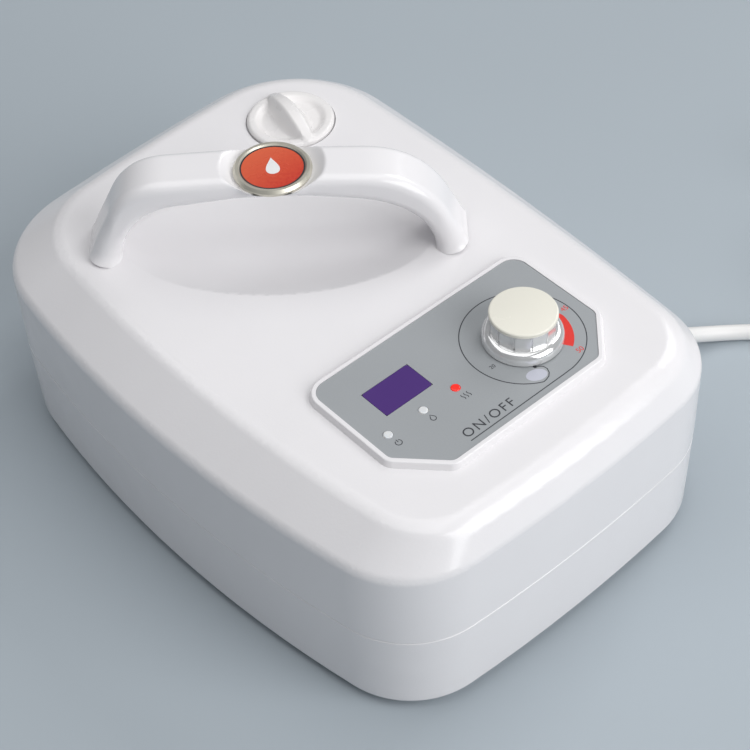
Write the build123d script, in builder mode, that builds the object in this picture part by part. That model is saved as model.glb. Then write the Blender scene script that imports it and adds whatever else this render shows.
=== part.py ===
from build123d import *
from math import cos, pi, radians, sin, sqrt, tan
import os

# Tabletop water heating and circulating unit: a two-part moulded housing with an arched carry
# handle over a finger dish, a sloping-edged roof with a dial panel, a screw-in fill cap, a small
# tank, pump and heater inside, two hose nozzles at the back and a mains cord at the right.
# X runs to the right along the panel, Y to the back, Z up; the table is at z = 0. Millimetres.

# Heights above the table
FOOT_TOP = 5.0
BASE = 4.0
PARTING = 46.0
RIM = 84.5
ROOF = 99.0
WALL = 2.5
FLOOR = BASE + WALL
CEILING = ROOF - WALL

# Plan outline of the housing at the parting line, corners front left, front right, back right, back left
BODY_CORNERS = [(-84.8, -146.8), (93.1, -145.9), (100.6, 132.6), (-88.9, 124.0)]
BODY_BOWS = [5.3, 5.26, 3.2, 15.9]
BODY_RADII = [40.0, 40.0, 55.0, 50.0]
BASE_DRAFT = 0.8
BASE_EDGE = 3.0

# Plan outline of the roof
ROOF_CORNERS = [(-68.0, -140.0), (82.0, -139.0), (85.5, 115.0), (-72.0, 107.0)]
ROOF_BOWS = [4.0, 4.0, 3.5, 11.0]
ROOF_RADII = [30.0, 30.0, 45.0, 40.0]
ROOF_EDGE = 12.0
RIM_EDGE = 6.5
SEAM_BEVEL = 0.4
LAP_DEPTH = 2.8
LAP_WIDTH = 1.15
LAP_GAP = 0.1

# Carry handle, turned across the roof
HANDLE_X, HANDLE_Y = -2.3, 25.2
HANDLE_ANGLE = -40.6
HANDLE_WIDTH = 24.0
TANG_BOTTOM = 88.5
FOOT_OUTER, FOOT_INNER = 79.4, 68.9
KNEE_OUTER, KNEE_OUTER_Z = 61.5, 139.0
KNEE_INNER, KNEE_INNER_Z = 57.5, 129.5
CROWN_TOP, CROWN_UNDER = 141.5, 132.0
OUTER_BEND, INNER_BEND, ANKLE_BEND = 25.0, 22.0, 8.0
HANDLE_EDGE = 4.2
SOCKET_GAP = 0.5
SOCKET_WALL = 2.2
SOCKET_CORNER = 5.0

# Round badge seat in the crown of the handle
PAD_RADIUS, PAD_BOTTOM, PAD_TOP = 18.5, 131.5, 136.5
SEAT_RADIUS, SEAT_MOUTH = 17.0, 23.0
RING_RADIUS, RING_BORE, RING_TOP = 16.5, 13.5, 139.0
DISC_TOP, DISC_CROWN = 138.2, 139.0

# Finger dish pressed into the roof below the handle
DISH_HALF = 66.5
DISH_DEPTH = 7.0
DISH_AXIS_Z = 185.0
DISH_TOP = 105.0

# Dial panel
PANEL = [(-52.5, -53.5), (-52.5, -100.5), (-35.5, -118.5), (43.0, -118.5), (60.0, -100.5), (60.0, -53.5)]
PANEL_BACK_RADIUS, PANEL_FRONT_RADIUS = 7.0, 4.0
BEZEL_TOP = 101.8
BEZEL_LIP = 2.0
BEZEL_SLOPE = 20.0
BEZEL_EDGE = 0.7
OVERLAY_FLOOR, OVERLAY_TOP = 101.0, 101.5
OVERLAY_GAP = 0.15
WINDOW_X, WINDOW_Y, WINDOW_W, WINDOW_H = -26.75, -76.5, 24.1, 15.0
MODULE_TOP = 100.4
LAMPS = {"lamp_power": (-45.0, -91.5), "lamp_water": (-26.6, -91.5), "lamp_heat": (-9.4, -91.5)}
LAMP_RADIUS = 2.0

# Dial
DIAL_X, DIAL_Y = 29.0, -90.0
SKIRT_RADIUS, SKIRT_BOTTOM, SKIRT_TOP = 16.75, 102.0, 107.0
DRUM_RADIUS, DRUM_TOP, FACETS = 13.6, 114.4, 12
GROOVE_WIDTH, GROOVE_DEPTH = 0.9, 0.8
CAP_RADIUS, CAP_TOP, CAP_CROWN = 14.0, 116.4, 117.2
HUB_RADIUS, KNOB_HOLLOW, KNOB_CEILING, HUB_BOTTOM = 5.5, 10.5, 111.5, 105.2
SHAFT_RADIUS, SHAFT_BOTTOM, SHAFT_TOP = 3.0, 89.0, 113.0
SHAFT_FIT = 0.05

# Fill cap and neck
FILL_X, FILL_Y = 51.6, 81.7
FILL_RADIUS, FILL_BOTTOM, FILL_TOP = 19.0, 98.5, 107.5
PLUG_RADIUS, PLUG_BORE, PLUG_BOTTOM = 11.2, 9.2, 86.0
NECK_RADIUS, NECK_BORE, NECK_TOP = 15.0, 12.5, 97.0
SEAL_BORE = 12.6
RECESS_RADIUS, RECESS_FLOOR, ROOF_HOLE = 20.5, 97.5, 15.5
GRIP_ANGLE, GRIP_WIDTH = 72.0, 7.0
SCOOP_RADIUS, SCOOP_DEPTH = 16.0, 6.0

# Tank
TANK_X0, TANK_X1, TANK_Y0, TANK_Y1 = 24.0, 88.0, 30.0, 104.0
TANK_BOTTOM, TANK_TOP, TANK_WALL = 22.0, 74.0, 2.0
TANK_CORNER = 8.0
TANK_BACK_CORNER = 22.0
LID_TOP = 76.5
GUIDE_X, GUIDE_Y = 40.0, 46.0
FLOAT_REST, FLOAT_TRAVEL = 26.0, 18.0
FLOAT_HEIGHT, FLOAT_RADIUS = 12.0, 9.0

# Pump, heater and water path
SPIGOT_RADIUS, SPIGOT_BORE, SPIGOT_LENGTH = 4.0, 2.6, 12.0
HOSE_RADIUS, HOSE_BORE = 6.0, 4.05
OUT_Z = 30.0
PUMP_X, PUMP_Z = -20.0, 30.0
PUMP_BACK = -24.0
MOTOR_RADIUS, MOTOR_LENGTH = 18.0, 40.0
VOLUTE_RADIUS, VOLUTE_DEPTH, COVER_DEPTH = 20.0, 14.0, 4.0
CHAMBER_RADIUS, CHAMBER_DEPTH = 14.0, 9.0
PUMP_OUT_Y, PUMP_OUT_Z, PUMP_OUT_X = -30.0, 38.0, -40.0
PUMP_BOSS = 5.4
HEATER_X, HEATER_Z, HEATER_Y0, HEATER_Y1 = -68.0, 38.0, 0.0, 60.0
HEATER_SIZE = 28.0
NOZZLE_Z = 31.0
NOZZLE_OUT_X, NOZZLE_RETURN_X = -34.0, -4.0
NOZZLE_SEAT, NOZZLE_PAD, NOZZLE_FLANGE, NOZZLE_NUT = 128.0, 123.6, 131.0, 117.4
PAD_ENDS = {NOZZLE_OUT_X: 127.5, NOZZLE_RETURN_X: 129.5}
NOZZLE_TIP = 151.66
NOZZLE_BODY, NOZZLE_HEX, INNER_SPIGOT = 5.0, 14.0, 10.0
RETURN_Y = 84.0
TANK_OUT_Y = 50.0

# Mains cord
CORD_RADIUS = 3.75
GLAND_Y, GLAND_Z = -77.0, 15.0
GLAND_SEAT, GLAND_END, GLAND_INNER = 97.2, 118.5, 90.0
TERMINAL_X0, TERMINAL_X1 = 46.0, 62.0
FLANGE_RADIUS, FLANGE_THICK = 7.6, 3.0
CORD_ROUTE = [
    (118.5, -77.0, 15.0),
    (131.5, -77.0, 15.0),
    (144.1, -78.3, 12.1),
    (155.7, -81.2, 6.9),
    (168.3, -87.6, 3.9),
    (179.6, -97.4, 4.0),
    (188.8, -109.2, 4.3),
    (194.7, -122.4, 4.65),
]
COIL_LIFT = 4.65
COIL_HEADING = -78.0
COIL_LEAD = 8.0
LAST_RUN = 14.0
COIL_INNER = 26.0
COIL_PITCH = 9.7
COIL_LAYER = 8.0
COIL_TURNS = 3
COIL_TAIL = 20.0
TIE_GAP, TIE_SLACK, TIE_THICK, TIE_WIDTH = 0.35, 0.6, 0.55, 6.0
PLUG_LENGTH, PLUG_WIDTH = 48.0, 38.0
PIN_LENGTH, PIN_WIDTH, PIN_THICK = 18.0, 6.4, 1.6

# Fixings
CASE_SCREWS = [(-72.0, -128.0), (76.0, -126.0), (89.0, -5.0), (20.0, 117.0), (-68.0, 100.0), (-88.0, -10.0)]
CASE_POST, CASE_JOINT = 5.4, 40.0
CASE_HEAD_SEAT = 30.0
FEET = [(-58.0, -110.0), (62.0, -108.0), (70.0, 88.0), (-56.0, 80.0)]
FOOT_RADIUS = 8.0
BOARD_BOSSES = [(-44.0, -111.0), (51.5, -111.0), (-44.0, -61.0), (51.5, -61.0)]
BOARD_TOP, BOARD_THICK = 87.6, 1.6
POWER_POSTS = [(-44.0, -126.0), (20.0, -126.0), (-44.0, -92.0), (20.0, -92.0)]
POWER_BOARD_Z = 12.5
TANK_POSTS = [(32.0, 40.0), (80.0, 40.0), (80.0, 90.0), (32.0, 96.0)]

# Smaller sizes
ANKLE_Z = 100.0
BEZEL_SUNK = 1.0
PAD_EDGE = 1.5
SOCKET_FLOOR = 2.5
SOCKET_MIDDLE = (FOOT_OUTER + FOOT_INNER) / 2
SOCKET_LENGTH = FOOT_OUTER - FOOT_INNER + 2 * SOCKET_GAP
SOCKET_WIDTH = HANDLE_WIDTH + 2 * SOCKET_GAP
TANG_SCREWS = [(s * SOCKET_MIDDLE, t) for s in (-1, 1) for t in (-6.0, 6.0)]
TANG_PILOT = 11.0
PORT_GAP = 0.1
MODULE_W, MODULE_H = 22.0, 13.0
WINDOW_CORNER = 1.2
LAMP_FLANGE, LAMP_TOP, LAMP_EDGE = 2.5, 101.9, 0.6
NUT_HOLE = 8.0
CONTROL_SIZE, BUSHING_RADIUS, BUSHING_TOP = 16.0, 4.5, 104.5
CONTROL_NUT_AF, CONTROL_NUT_HEIGHT = 12.0, 2.2
SKIRT_LIP = 104.0
FLAT_AT = 1.5
BOARD_X, BOARD_Y, BOARD_W, BOARD_H = 3.75, -86.0, 106.0, 60.0
BOARD_BOSS, SMALL_PILOT, SMALL_DEPTH = 3.5, 1.2, 7.0
POWER_X, POWER_Y, POWER_W, POWER_H = -12.0, -109.0, 78.0, 44.0
TRANSFORMER_X, TRANSFORMER_Y = -26.0, -109.0
GUIDE_RADIUS = 2.0
FILL_EDGE = 3.5
PIN_RADIUS, IMPELLER_RADIUS = 1.5, 12.5
CUTOUT_RADIUS, CUTOUT_HEIGHT = 8.0, 6.0
STRAP_LOW, STRAP_THICK, STRAP_WIDTH = 44.0, 0.8, 6.0
SADDLE_INSET, SADDLE_THICK = 12.0, 4.0
HOSE_BEND, HOSE_BEND_WIDE, HOSE_BEND_TIGHT = 14.0, 22.0, 12.0
CLAMP_THICK, CLAMP_WIDTH = 0.9, 5.0
NOZZLE_RIM, NOZZLE_RECESS, WASHER_THICK = 8.5, 9.2, 1.2
PAD_AROUND_NOZZLE, PAD_AROUND_GLAND, GLAND_PAD, GLAND_BODY = 12.0, 9.0, 4.0, 5.9
RELIEF_RIBS, RELIEF_WIDE, RELIEF_NARROW = 4, 6.4, 4.7
SLEEVE_LENGTH = 16.0
TANK_POST = 5.0
HANDLE_SCREW = {"length": 12, "head_radius": 2.8, "head_height": 2.0, "shank_radius": 1.5}
BOARD_SCREW = {"length": 8, "head_radius": 2.4, "head_height": 1.6, "shank_radius": 1.15}
CASE_SCREW = {"length": 24, "head_radius": 3.0, "head_height": 2.2, "shank_radius": 1.5}
BOARD_CORNER, BOARD_HOLE = 3, 1.6
CAPACITORS, CAPACITOR_RADIUS, CAPACITOR_HEIGHT = [(8, -118), (8, -102)], 6, 16
SINK_X, SINK_Y, SINK_LENGTH, SINK_THICK, SINK_HEIGHT = -6, -92, 24, 3, 22
CORE_WIDTH, CORE_DEPTH, CORE_HEIGHT, CORE_EDGE = 28, 24, 22, 1
BOBBIN_WIDTH, BOBBIN_DEPTH, BOBBIN_HEIGHT, BOBBIN_CORNER, BOBBIN_LIFT = 18, 32, 16, 4, 3
TERMINAL_DEPTH, TERMINAL_RISE, TERMINAL_PITCH, TERMINAL_HOLE, TERMINAL_DRILL = 24, 7, 7.5, 2.2, 4
TERMINAL_COUNT = 3
BLADE_COUNT, BLADE_THICK, BLADE_HEIGHT, IMPELLER_EYE, IMPELLER_DISC = 6, 1.4, 4.5, 4, 2
WELL_RADIUS, SCREW_CLEAR, PILOT_RADIUS, PILOT_DEPTH = 3.8, 1.7, 1.55, 16.0
VENT_GROUPS = [(-12.0, -109.0), (-20.0, -10.0)]
VENT_PITCH, VENT_COUNT, VENT_LENGTH, VENT_WIDTH = 8.0, 6, 26.0, 3.0

os.makedirs("parts", exist_ok=True)

A = radians(HANDLE_ANGLE)
ALONG = Vector(cos(A), sin(A), 0)
ACROSS = Vector(-sin(A), cos(A), 0)
HANDLE_PLANE = Plane(origin=(HANDLE_X, HANDLE_Y, 0), x_dir=ALONG, z_dir=ACROSS * -1)
HANDLE_PLAN = Plane(origin=(HANDLE_X, HANDLE_Y, 0), x_dir=ALONG, z_dir=(0, 0, 1))
DISH_LINE = Axis((HANDLE_X, HANDLE_Y, DISH_AXIS_Z), ALONG)


def side_circle(start, end, bow):
    """Outward direction, centre and radius of the arc that bows out between two corners."""
    side = (end - start).normalized()
    outward = Vector(side.Y, -side.X)
    radius = (end - start).length ** 2 / (8 * bow) + bow / 2
    return outward, (start + end) * 0.5 + outward * (bow - radius), radius


def crossing(first, second, inset, near):
    """Where the arcs of two neighbouring sides meet once both are moved inwards."""
    r1 = first[2] - inset
    r2 = second[2] - inset
    between = second[1] - first[1]
    distance = between.length
    along = (r1**2 - r2**2 + distance**2) / (2 * distance)
    away = sqrt(r1**2 - along**2)
    unit = between.normalized()
    foot = first[1] + unit * along
    square = Vector(-unit.Y, unit.X) * away
    return min((foot + square, foot - square), key=lambda place: (place - near).length)


def bowed_quad(corners, bows, rounds, inset):
    """Four-sided outline with bowed sides and rounded corners, moved inwards by the inset."""
    given = [Vector(*corner) for corner in corners]
    sides = [side_circle(given[i], given[(i + 1) % 4], bows[i]) for i in range(4)]
    moved = [crossing(sides[i - 1], sides[i], inset, given[i]) for i in range(4)]
    with BuildSketch() as outline:
        with BuildLine():
            for i, (outward, centre, radius) in enumerate(sides):
                ThreePointArc(moved[i], centre + outward * (radius - inset), moved[(i + 1) % 4])
        make_face()
        for corner, radius in zip(moved, rounds):
            fillet(outline.vertices().sort_by_distance(corner)[0], radius - inset)
    return outline.sketch


def body_outline(inset):
    """Plan outline of the housing, moved inwards by the inset."""
    return bowed_quad(BODY_CORNERS, BODY_BOWS, BODY_RADII, inset)


def roof_outline(inset):
    """Plan outline of the roof, moved inwards by the inset."""
    return bowed_quad(ROOF_CORNERS, ROOF_BOWS, ROOF_RADII, inset)


def dome_middle(radius, edge, crown):
    """Height of a ball-shaped top halfway out from its middle."""
    rise = crown - edge
    ball = (radius**2 + rise**2) / (2 * rise)
    return crown - ball + sqrt(ball**2 - radius**2 / 4)


def housing_stack(inset, bottom, top, roof_round, rim_round):
    """Solid body of the housing above the parting line, drawn in all round by the inset."""
    with BuildPart() as stack:
        with BuildSketch(Plane.XY.offset(bottom)):
            add(body_outline(inset))
        extrude(amount=RIM - bottom)
        with BuildSketch(Plane.XY.offset(RIM)):
            add(body_outline(inset))
        with BuildSketch(Plane.XY.offset(top)):
            add(roof_outline(inset))
        loft(ruled=True)
        roof_edges = stack.faces().sort_by(Axis.Z)[-1].edges()
        fillet(roof_edges, roof_round)
        rim_edges = [e for e in stack.edges() if abs(e.center().Z - RIM) < 0.01]
        fillet(rim_edges, rim_round)
    return stack.part


def dish_ring(extra):
    """Ring about the line above the handle; its lowest part is the dish, deeper by the extra."""
    chord_radius = (DISH_HALF**2 + DISH_DEPTH**2) / (2 * DISH_DEPTH)
    low = ROOF - DISH_DEPTH
    radius = chord_radius + extra
    reach = sqrt(radius**2 - (low + chord_radius - DISH_TOP) ** 2)
    with BuildPart() as ring:
        with BuildSketch(HANDLE_PLANE):
            with BuildLine():
                bowl = ThreePointArc((-reach, DISH_TOP), (0, low - extra), (reach, DISH_TOP))
                Line(bowl @ 1, bowl @ 0)
            make_face()
        revolve(axis=DISH_LINE)
    return ring.part


def panel_outline(grow):
    """Outline of the dial panel, grown all round."""
    with BuildSketch() as outline:
        with BuildLine():
            Polyline(*PANEL, close=True)
        make_face()
        for corner in PANEL[1:5]:
            fillet(outline.vertices().sort_by_distance(corner)[0], PANEL_FRONT_RADIUS)
        for corner in (PANEL[0], PANEL[5]):
            fillet(outline.vertices().sort_by_distance(corner)[0], PANEL_BACK_RADIUS)
        if grow:
            offset(amount=grow)
    return outline.sketch


def screw(length, head_radius, head_height, shank_radius):
    """Pan head screw, head underside at z = 0, shank upwards, cross slot in the head."""
    with BuildPart() as body:
        with BuildSketch(Plane.XZ):
            with BuildLine():
                Polyline(
                    (0, -head_height),
                    (head_radius * 0.7, -head_height),
                    (head_radius, -head_height * 0.4),
                    (head_radius, 0),
                    (shank_radius, 0),
                    (shank_radius, length - shank_radius),
                    (0, length),
                    close=True,
                )
            make_face()
        revolve(axis=Axis.Z)
        with BuildSketch(Plane.XY.offset(-head_height)):
            Rectangle(head_radius * 1.1, head_radius * 0.28)
            Rectangle(head_radius * 0.28, head_radius * 1.1)
        extrude(amount=head_height * 0.5, mode=Mode.SUBTRACT)
    return body.part


def tube(points, radii, outer, bore):
    """Hose along straight runs joined by arcs, with its bore."""
    with BuildPart() as hose:
        with BuildLine() as run:
            FilletPolyline(*points, radius=radii)
        with BuildSketch(Plane(origin=run.line @ 0, z_dir=run.line % 0)):
            Circle(outer)
            if bore:
                Circle(bore, mode=Mode.SUBTRACT)
        sweep()
    return hose.part


def arc_radii(points, share=0.45):
    """Radius of the arc at each inner point, as large as the two runs beside it allow."""
    radii = []
    for before, here, after in zip(points, points[1:], points[2:]):
        first = Vector(*here) - Vector(*before)
        second = Vector(*after) - Vector(*here)
        half = radians(first.get_angle(second)) / 2
        radii.append(share * min(first.length, second.length) / tan(half))
    return radii


def turned(profile, origin, direction):
    """Solid of revolution from (distance, radius) points, its axis along the direction."""
    side = Vector(0, 0, 1) if abs(Vector(*direction).Z) < 0.5 else Vector(0, -1, 0)
    plane = Plane(origin=origin, x_dir=direction, z_dir=Vector(*direction).cross(side))
    with BuildPart() as body:
        with BuildSketch(plane):
            with BuildLine():
                Polyline(*profile, close=True)
            make_face()
        revolve(axis=Axis(origin, direction))
    return body.part


def facing(origin, direction):
    """Plane at the origin that looks along the direction."""
    return Plane(origin=origin, z_dir=direction)


def tank_outline(inset):
    """Plan outline of the tank, drawn in by the inset; the back right corner follows the housing."""
    width = TANK_X1 - TANK_X0
    depth = TANK_Y1 - TANK_Y0
    middle = (TANK_X0 + width / 2, TANK_Y0 + depth / 2)
    with BuildSketch() as outline:
        with Locations(middle):
            Rectangle(width, depth)
        fillet(outline.vertices().sort_by_distance((TANK_X1, TANK_Y1))[0], TANK_BACK_CORNER)
        for corner in ((TANK_X0, TANK_Y0), (TANK_X1, TANK_Y0), (TANK_X0, TANK_Y1)):
            fillet(outline.vertices().sort_by_distance(corner)[0], TANK_CORNER)
        if inset:
            offset(amount=-inset)
    return outline.sketch


# Lower shell: drafted tray with screw posts, tank, board and heater rests, vents and cord port
with BuildPart() as lower_shell:
    with BuildSketch(Plane.XY.offset(BASE)):
        add(body_outline(BASE_DRAFT))
    with BuildSketch(Plane.XY.offset(PARTING - SEAM_BEVEL)):
        add(body_outline(0))
    with BuildSketch(Plane.XY.offset(PARTING)):
        add(body_outline(SEAM_BEVEL))
    loft(ruled=True)
    fillet(lower_shell.faces().sort_by(Axis.Z)[0].edges(), BASE_EDGE)
    with BuildSketch(Plane.XY.offset(FLOOR)):
        add(body_outline(WALL + BASE_DRAFT))
    with BuildSketch(Plane.XY.offset(PARTING)):
        add(body_outline(WALL))
    loft(ruled=True, mode=Mode.SUBTRACT)
    with BuildSketch(Plane.XY.offset(PARTING)):
        add(body_outline(WALL - LAP_WIDTH - LAP_GAP))
    extrude(amount=-LAP_DEPTH - LAP_GAP, mode=Mode.SUBTRACT)
    # Posts for the case screws, the tank, the power board, and two saddles for the heater
    with BuildSketch(Plane.XY.offset(FLOOR)):
        with Locations(*CASE_SCREWS):
            Circle(CASE_POST)
    extrude(amount=CASE_JOINT - FLOOR)
    with BuildSketch(Plane.XY.offset(FLOOR)):
        with Locations(*TANK_POSTS):
            Circle(TANK_POST)
    extrude(amount=TANK_BOTTOM - FLOOR)
    with BuildSketch(Plane.XY.offset(FLOOR)):
        with Locations(*POWER_POSTS):
            Circle(BOARD_BOSS)
    extrude(amount=POWER_BOARD_Z - FLOOR)
    with BuildSketch(Plane.XY.offset(FLOOR)):
        with Locations((HEATER_X, HEATER_Y0 + SADDLE_INSET), (HEATER_X, HEATER_Y1 - SADDLE_INSET)):
            Rectangle(HEATER_SIZE - 4, SADDLE_THICK)
    extrude(amount=HEATER_Z - HEATER_SIZE / 2 - FLOOR)
    # Thick pads inside the wall where the nozzles and the cord gland sit
    for x, pad_end in PAD_ENDS.items():
        with BuildSketch(facing((x, NOZZLE_PAD, NOZZLE_Z), (0, 1, 0))):
            Circle(PAD_AROUND_NOZZLE)
        extrude(amount=pad_end - NOZZLE_PAD)
        with BuildSketch(facing((x, NOZZLE_SEAT, NOZZLE_Z), (0, 1, 0))):
            Circle(NOZZLE_RECESS)
        extrude(amount=10, mode=Mode.SUBTRACT)
        with BuildSketch(facing((x, NOZZLE_PAD, NOZZLE_Z), (0, 1, 0))):
            Circle(NOZZLE_BODY + PORT_GAP)
        extrude(amount=10, mode=Mode.SUBTRACT)
    with BuildSketch(facing((GLAND_SEAT - GLAND_PAD, GLAND_Y, GLAND_Z), (1, 0, 0))):
        Circle(PAD_AROUND_GLAND)
    extrude(amount=GLAND_PAD)
    with BuildSketch(facing((GLAND_SEAT, GLAND_Y, GLAND_Z), (1, 0, 0))):
        Circle(FLANGE_RADIUS + 0.5)
    extrude(amount=10, mode=Mode.SUBTRACT)
    with BuildSketch(facing((GLAND_SEAT - GLAND_PAD, GLAND_Y, GLAND_Z), (1, 0, 0))):
        Circle(GLAND_BODY + PORT_GAP)
    extrude(amount=10, mode=Mode.SUBTRACT)
    # Screw wells, foot recesses and vents in the underside
    with BuildSketch(Plane.XY.offset(BASE)):
        with Locations(*CASE_SCREWS):
            Circle(WELL_RADIUS)
    extrude(amount=CASE_HEAD_SEAT - BASE, mode=Mode.SUBTRACT)
    with BuildSketch(Plane.XY.offset(BASE)):
        with Locations(*CASE_SCREWS):
            Circle(SCREW_CLEAR)
    extrude(amount=PARTING - BASE, mode=Mode.SUBTRACT)
    with BuildSketch(Plane.XY.offset(BASE)):
        with Locations(*FEET):
            Circle(FOOT_RADIUS + 0.2)
    extrude(amount=FOOT_TOP - BASE, mode=Mode.SUBTRACT)
    with BuildSketch(Plane.XY.offset(BASE)):
        for middle in VENT_GROUPS:
            with Locations(middle):
                with GridLocations(VENT_PITCH, 0, VENT_COUNT, 1):
                    SlotOverall(VENT_LENGTH, VENT_WIDTH, rotation=90)
    extrude(amount=WALL, mode=Mode.SUBTRACT)
lower_shell.part.label = "lower_shell"

# Space inside the upper shell, less all that stands in it
with BuildPart() as hollow:
    add(housing_stack(WALL, PARTING - 1, CEILING, ROOF_EDGE - WALL, RIM_EDGE - WALL))
    add(dish_ring(WALL), mode=Mode.SUBTRACT)
    with BuildSketch(Plane.XY.offset(CASE_JOINT)):
        with Locations(*CASE_SCREWS):
            Circle(CASE_POST)
    extrude(amount=ROOF - CASE_JOINT, mode=Mode.SUBTRACT)
    with BuildSketch(Plane.XY.offset(BOARD_TOP)):
        with Locations(*BOARD_BOSSES):
            Circle(BOARD_BOSS)
    extrude(amount=ROOF - BOARD_TOP, mode=Mode.SUBTRACT)
    with BuildSketch(HANDLE_PLAN.offset(TANG_BOTTOM - SOCKET_FLOOR)):
        with Locations((-SOCKET_MIDDLE, 0), (SOCKET_MIDDLE, 0)):
            RectangleRounded(
                SOCKET_LENGTH + 2 * SOCKET_WALL, SOCKET_WIDTH + 2 * SOCKET_WALL, SOCKET_CORNER + SOCKET_WALL
            )
    extrude(amount=ROOF - TANG_BOTTOM + SOCKET_FLOOR, mode=Mode.SUBTRACT)
    with BuildSketch(Plane.XY.offset(RECESS_FLOOR - WALL)):
        with Locations((FILL_X, FILL_Y)):
            Circle(RECESS_RADIUS + WALL)
    extrude(amount=WALL, mode=Mode.SUBTRACT)

# Upper shell: domed-edge roof, finger dish, panel bezel, handle sockets and cap recess
with BuildPart() as upper_shell:
    add(housing_stack(0, PARTING + SEAM_BEVEL, ROOF, ROOF_EDGE, RIM_EDGE))
    with BuildSketch(Plane.XY.offset(PARTING)):
        add(body_outline(SEAM_BEVEL))
    with BuildSketch(Plane.XY.offset(PARTING + SEAM_BEVEL)):
        add(body_outline(0))
    loft(ruled=True)
    with BuildSketch(Plane.XY.offset(ROOF - BEZEL_SUNK)):
        add(panel_outline(BEZEL_LIP + (BEZEL_TOP - ROOF + BEZEL_SUNK) * tan(radians(BEZEL_SLOPE))))
    extrude(amount=BEZEL_TOP - ROOF + BEZEL_SUNK, taper=BEZEL_SLOPE)
    fillet(upper_shell.faces().sort_by(Axis.Z)[-1].edges(), BEZEL_EDGE)
    add(hollow.part, mode=Mode.SUBTRACT)
    add(dish_ring(0), mode=Mode.SUBTRACT)
    # Lower ends of the screw posts and the tongue that laps inside the lower shell
    with BuildSketch(Plane.XY.offset(CASE_JOINT)):
        with Locations(*CASE_SCREWS):
            Circle(CASE_POST)
    extrude(amount=PARTING - CASE_JOINT)
    with BuildSketch(Plane.XY.offset(CASE_JOINT)):
        with Locations(*CASE_SCREWS):
            Circle(PILOT_RADIUS)
    extrude(amount=PILOT_DEPTH, mode=Mode.SUBTRACT)
    with BuildSketch(Plane.XY.offset(PARTING)):
        add(body_outline(WALL - LAP_WIDTH))
        add(body_outline(WALL), mode=Mode.SUBTRACT)
    extrude(amount=-LAP_DEPTH)
    with BuildSketch(Plane.XY.offset(PARTING)):
        add(body_outline(WALL - LAP_WIDTH))
        add(body_outline(WALL), mode=Mode.SUBTRACT)
    extrude(amount=1)
    # Panel: recess for the printed sheet, openings for display, lamps and dial
    with BuildSketch(Plane.XY.offset(OVERLAY_FLOOR)):
        add(panel_outline(OVERLAY_GAP))
    extrude(amount=BEZEL_TOP, mode=Mode.SUBTRACT)
    with BuildSketch(Plane.XY.offset(MODULE_TOP)):
        with Locations((WINDOW_X, WINDOW_Y)):
            Rectangle(WINDOW_W + 2 * OVERLAY_GAP, WINDOW_H + 2 * OVERLAY_GAP)
    extrude(amount=BEZEL_TOP, mode=Mode.SUBTRACT)
    with BuildSketch(Plane.XY.offset(CEILING - 1)):
        with Locations((WINDOW_X, WINDOW_Y)):
            Rectangle(MODULE_W + 2 * PORT_GAP, MODULE_H + 2 * PORT_GAP)
        with Locations(*LAMPS.values()):
            Circle(LAMP_RADIUS + PORT_GAP)
        with Locations((DIAL_X, DIAL_Y)):
            Circle(BUSHING_RADIUS + PORT_GAP)
    extrude(amount=BEZEL_TOP, mode=Mode.SUBTRACT)
    with BuildSketch(Plane.XY.offset(BOARD_TOP)):
        with Locations(*BOARD_BOSSES):
            Circle(SMALL_PILOT)
    extrude(amount=SMALL_DEPTH, mode=Mode.SUBTRACT)
    # Handle sockets with two screw holes in each floor
    with BuildSketch(HANDLE_PLAN.offset(TANG_BOTTOM)):
        with Locations((-SOCKET_MIDDLE, 0), (SOCKET_MIDDLE, 0)):
            RectangleRounded(SOCKET_LENGTH, SOCKET_WIDTH, SOCKET_CORNER)
    extrude(amount=ROOF, mode=Mode.SUBTRACT)
    with BuildSketch(HANDLE_PLAN.offset(TANG_BOTTOM - 2 * SOCKET_FLOOR)):
        with Locations(*TANG_SCREWS):
            Circle(SCREW_CLEAR)
    extrude(amount=3 * SOCKET_FLOOR, mode=Mode.SUBTRACT)
    # Recess and opening for the fill cap
    with BuildSketch(Plane.XY.offset(RECESS_FLOOR)):
        with Locations((FILL_X, FILL_Y)):
            Circle(RECESS_RADIUS)
    extrude(amount=WALL, mode=Mode.SUBTRACT)
    with BuildSketch(Plane.XY.offset(RECESS_FLOOR - 2 * WALL)):
        with Locations((FILL_X, FILL_Y)):
            Circle(ROOF_HOLE)
    extrude(amount=3 * WALL, mode=Mode.SUBTRACT)
upper_shell.part.label = "upper_shell"

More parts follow.
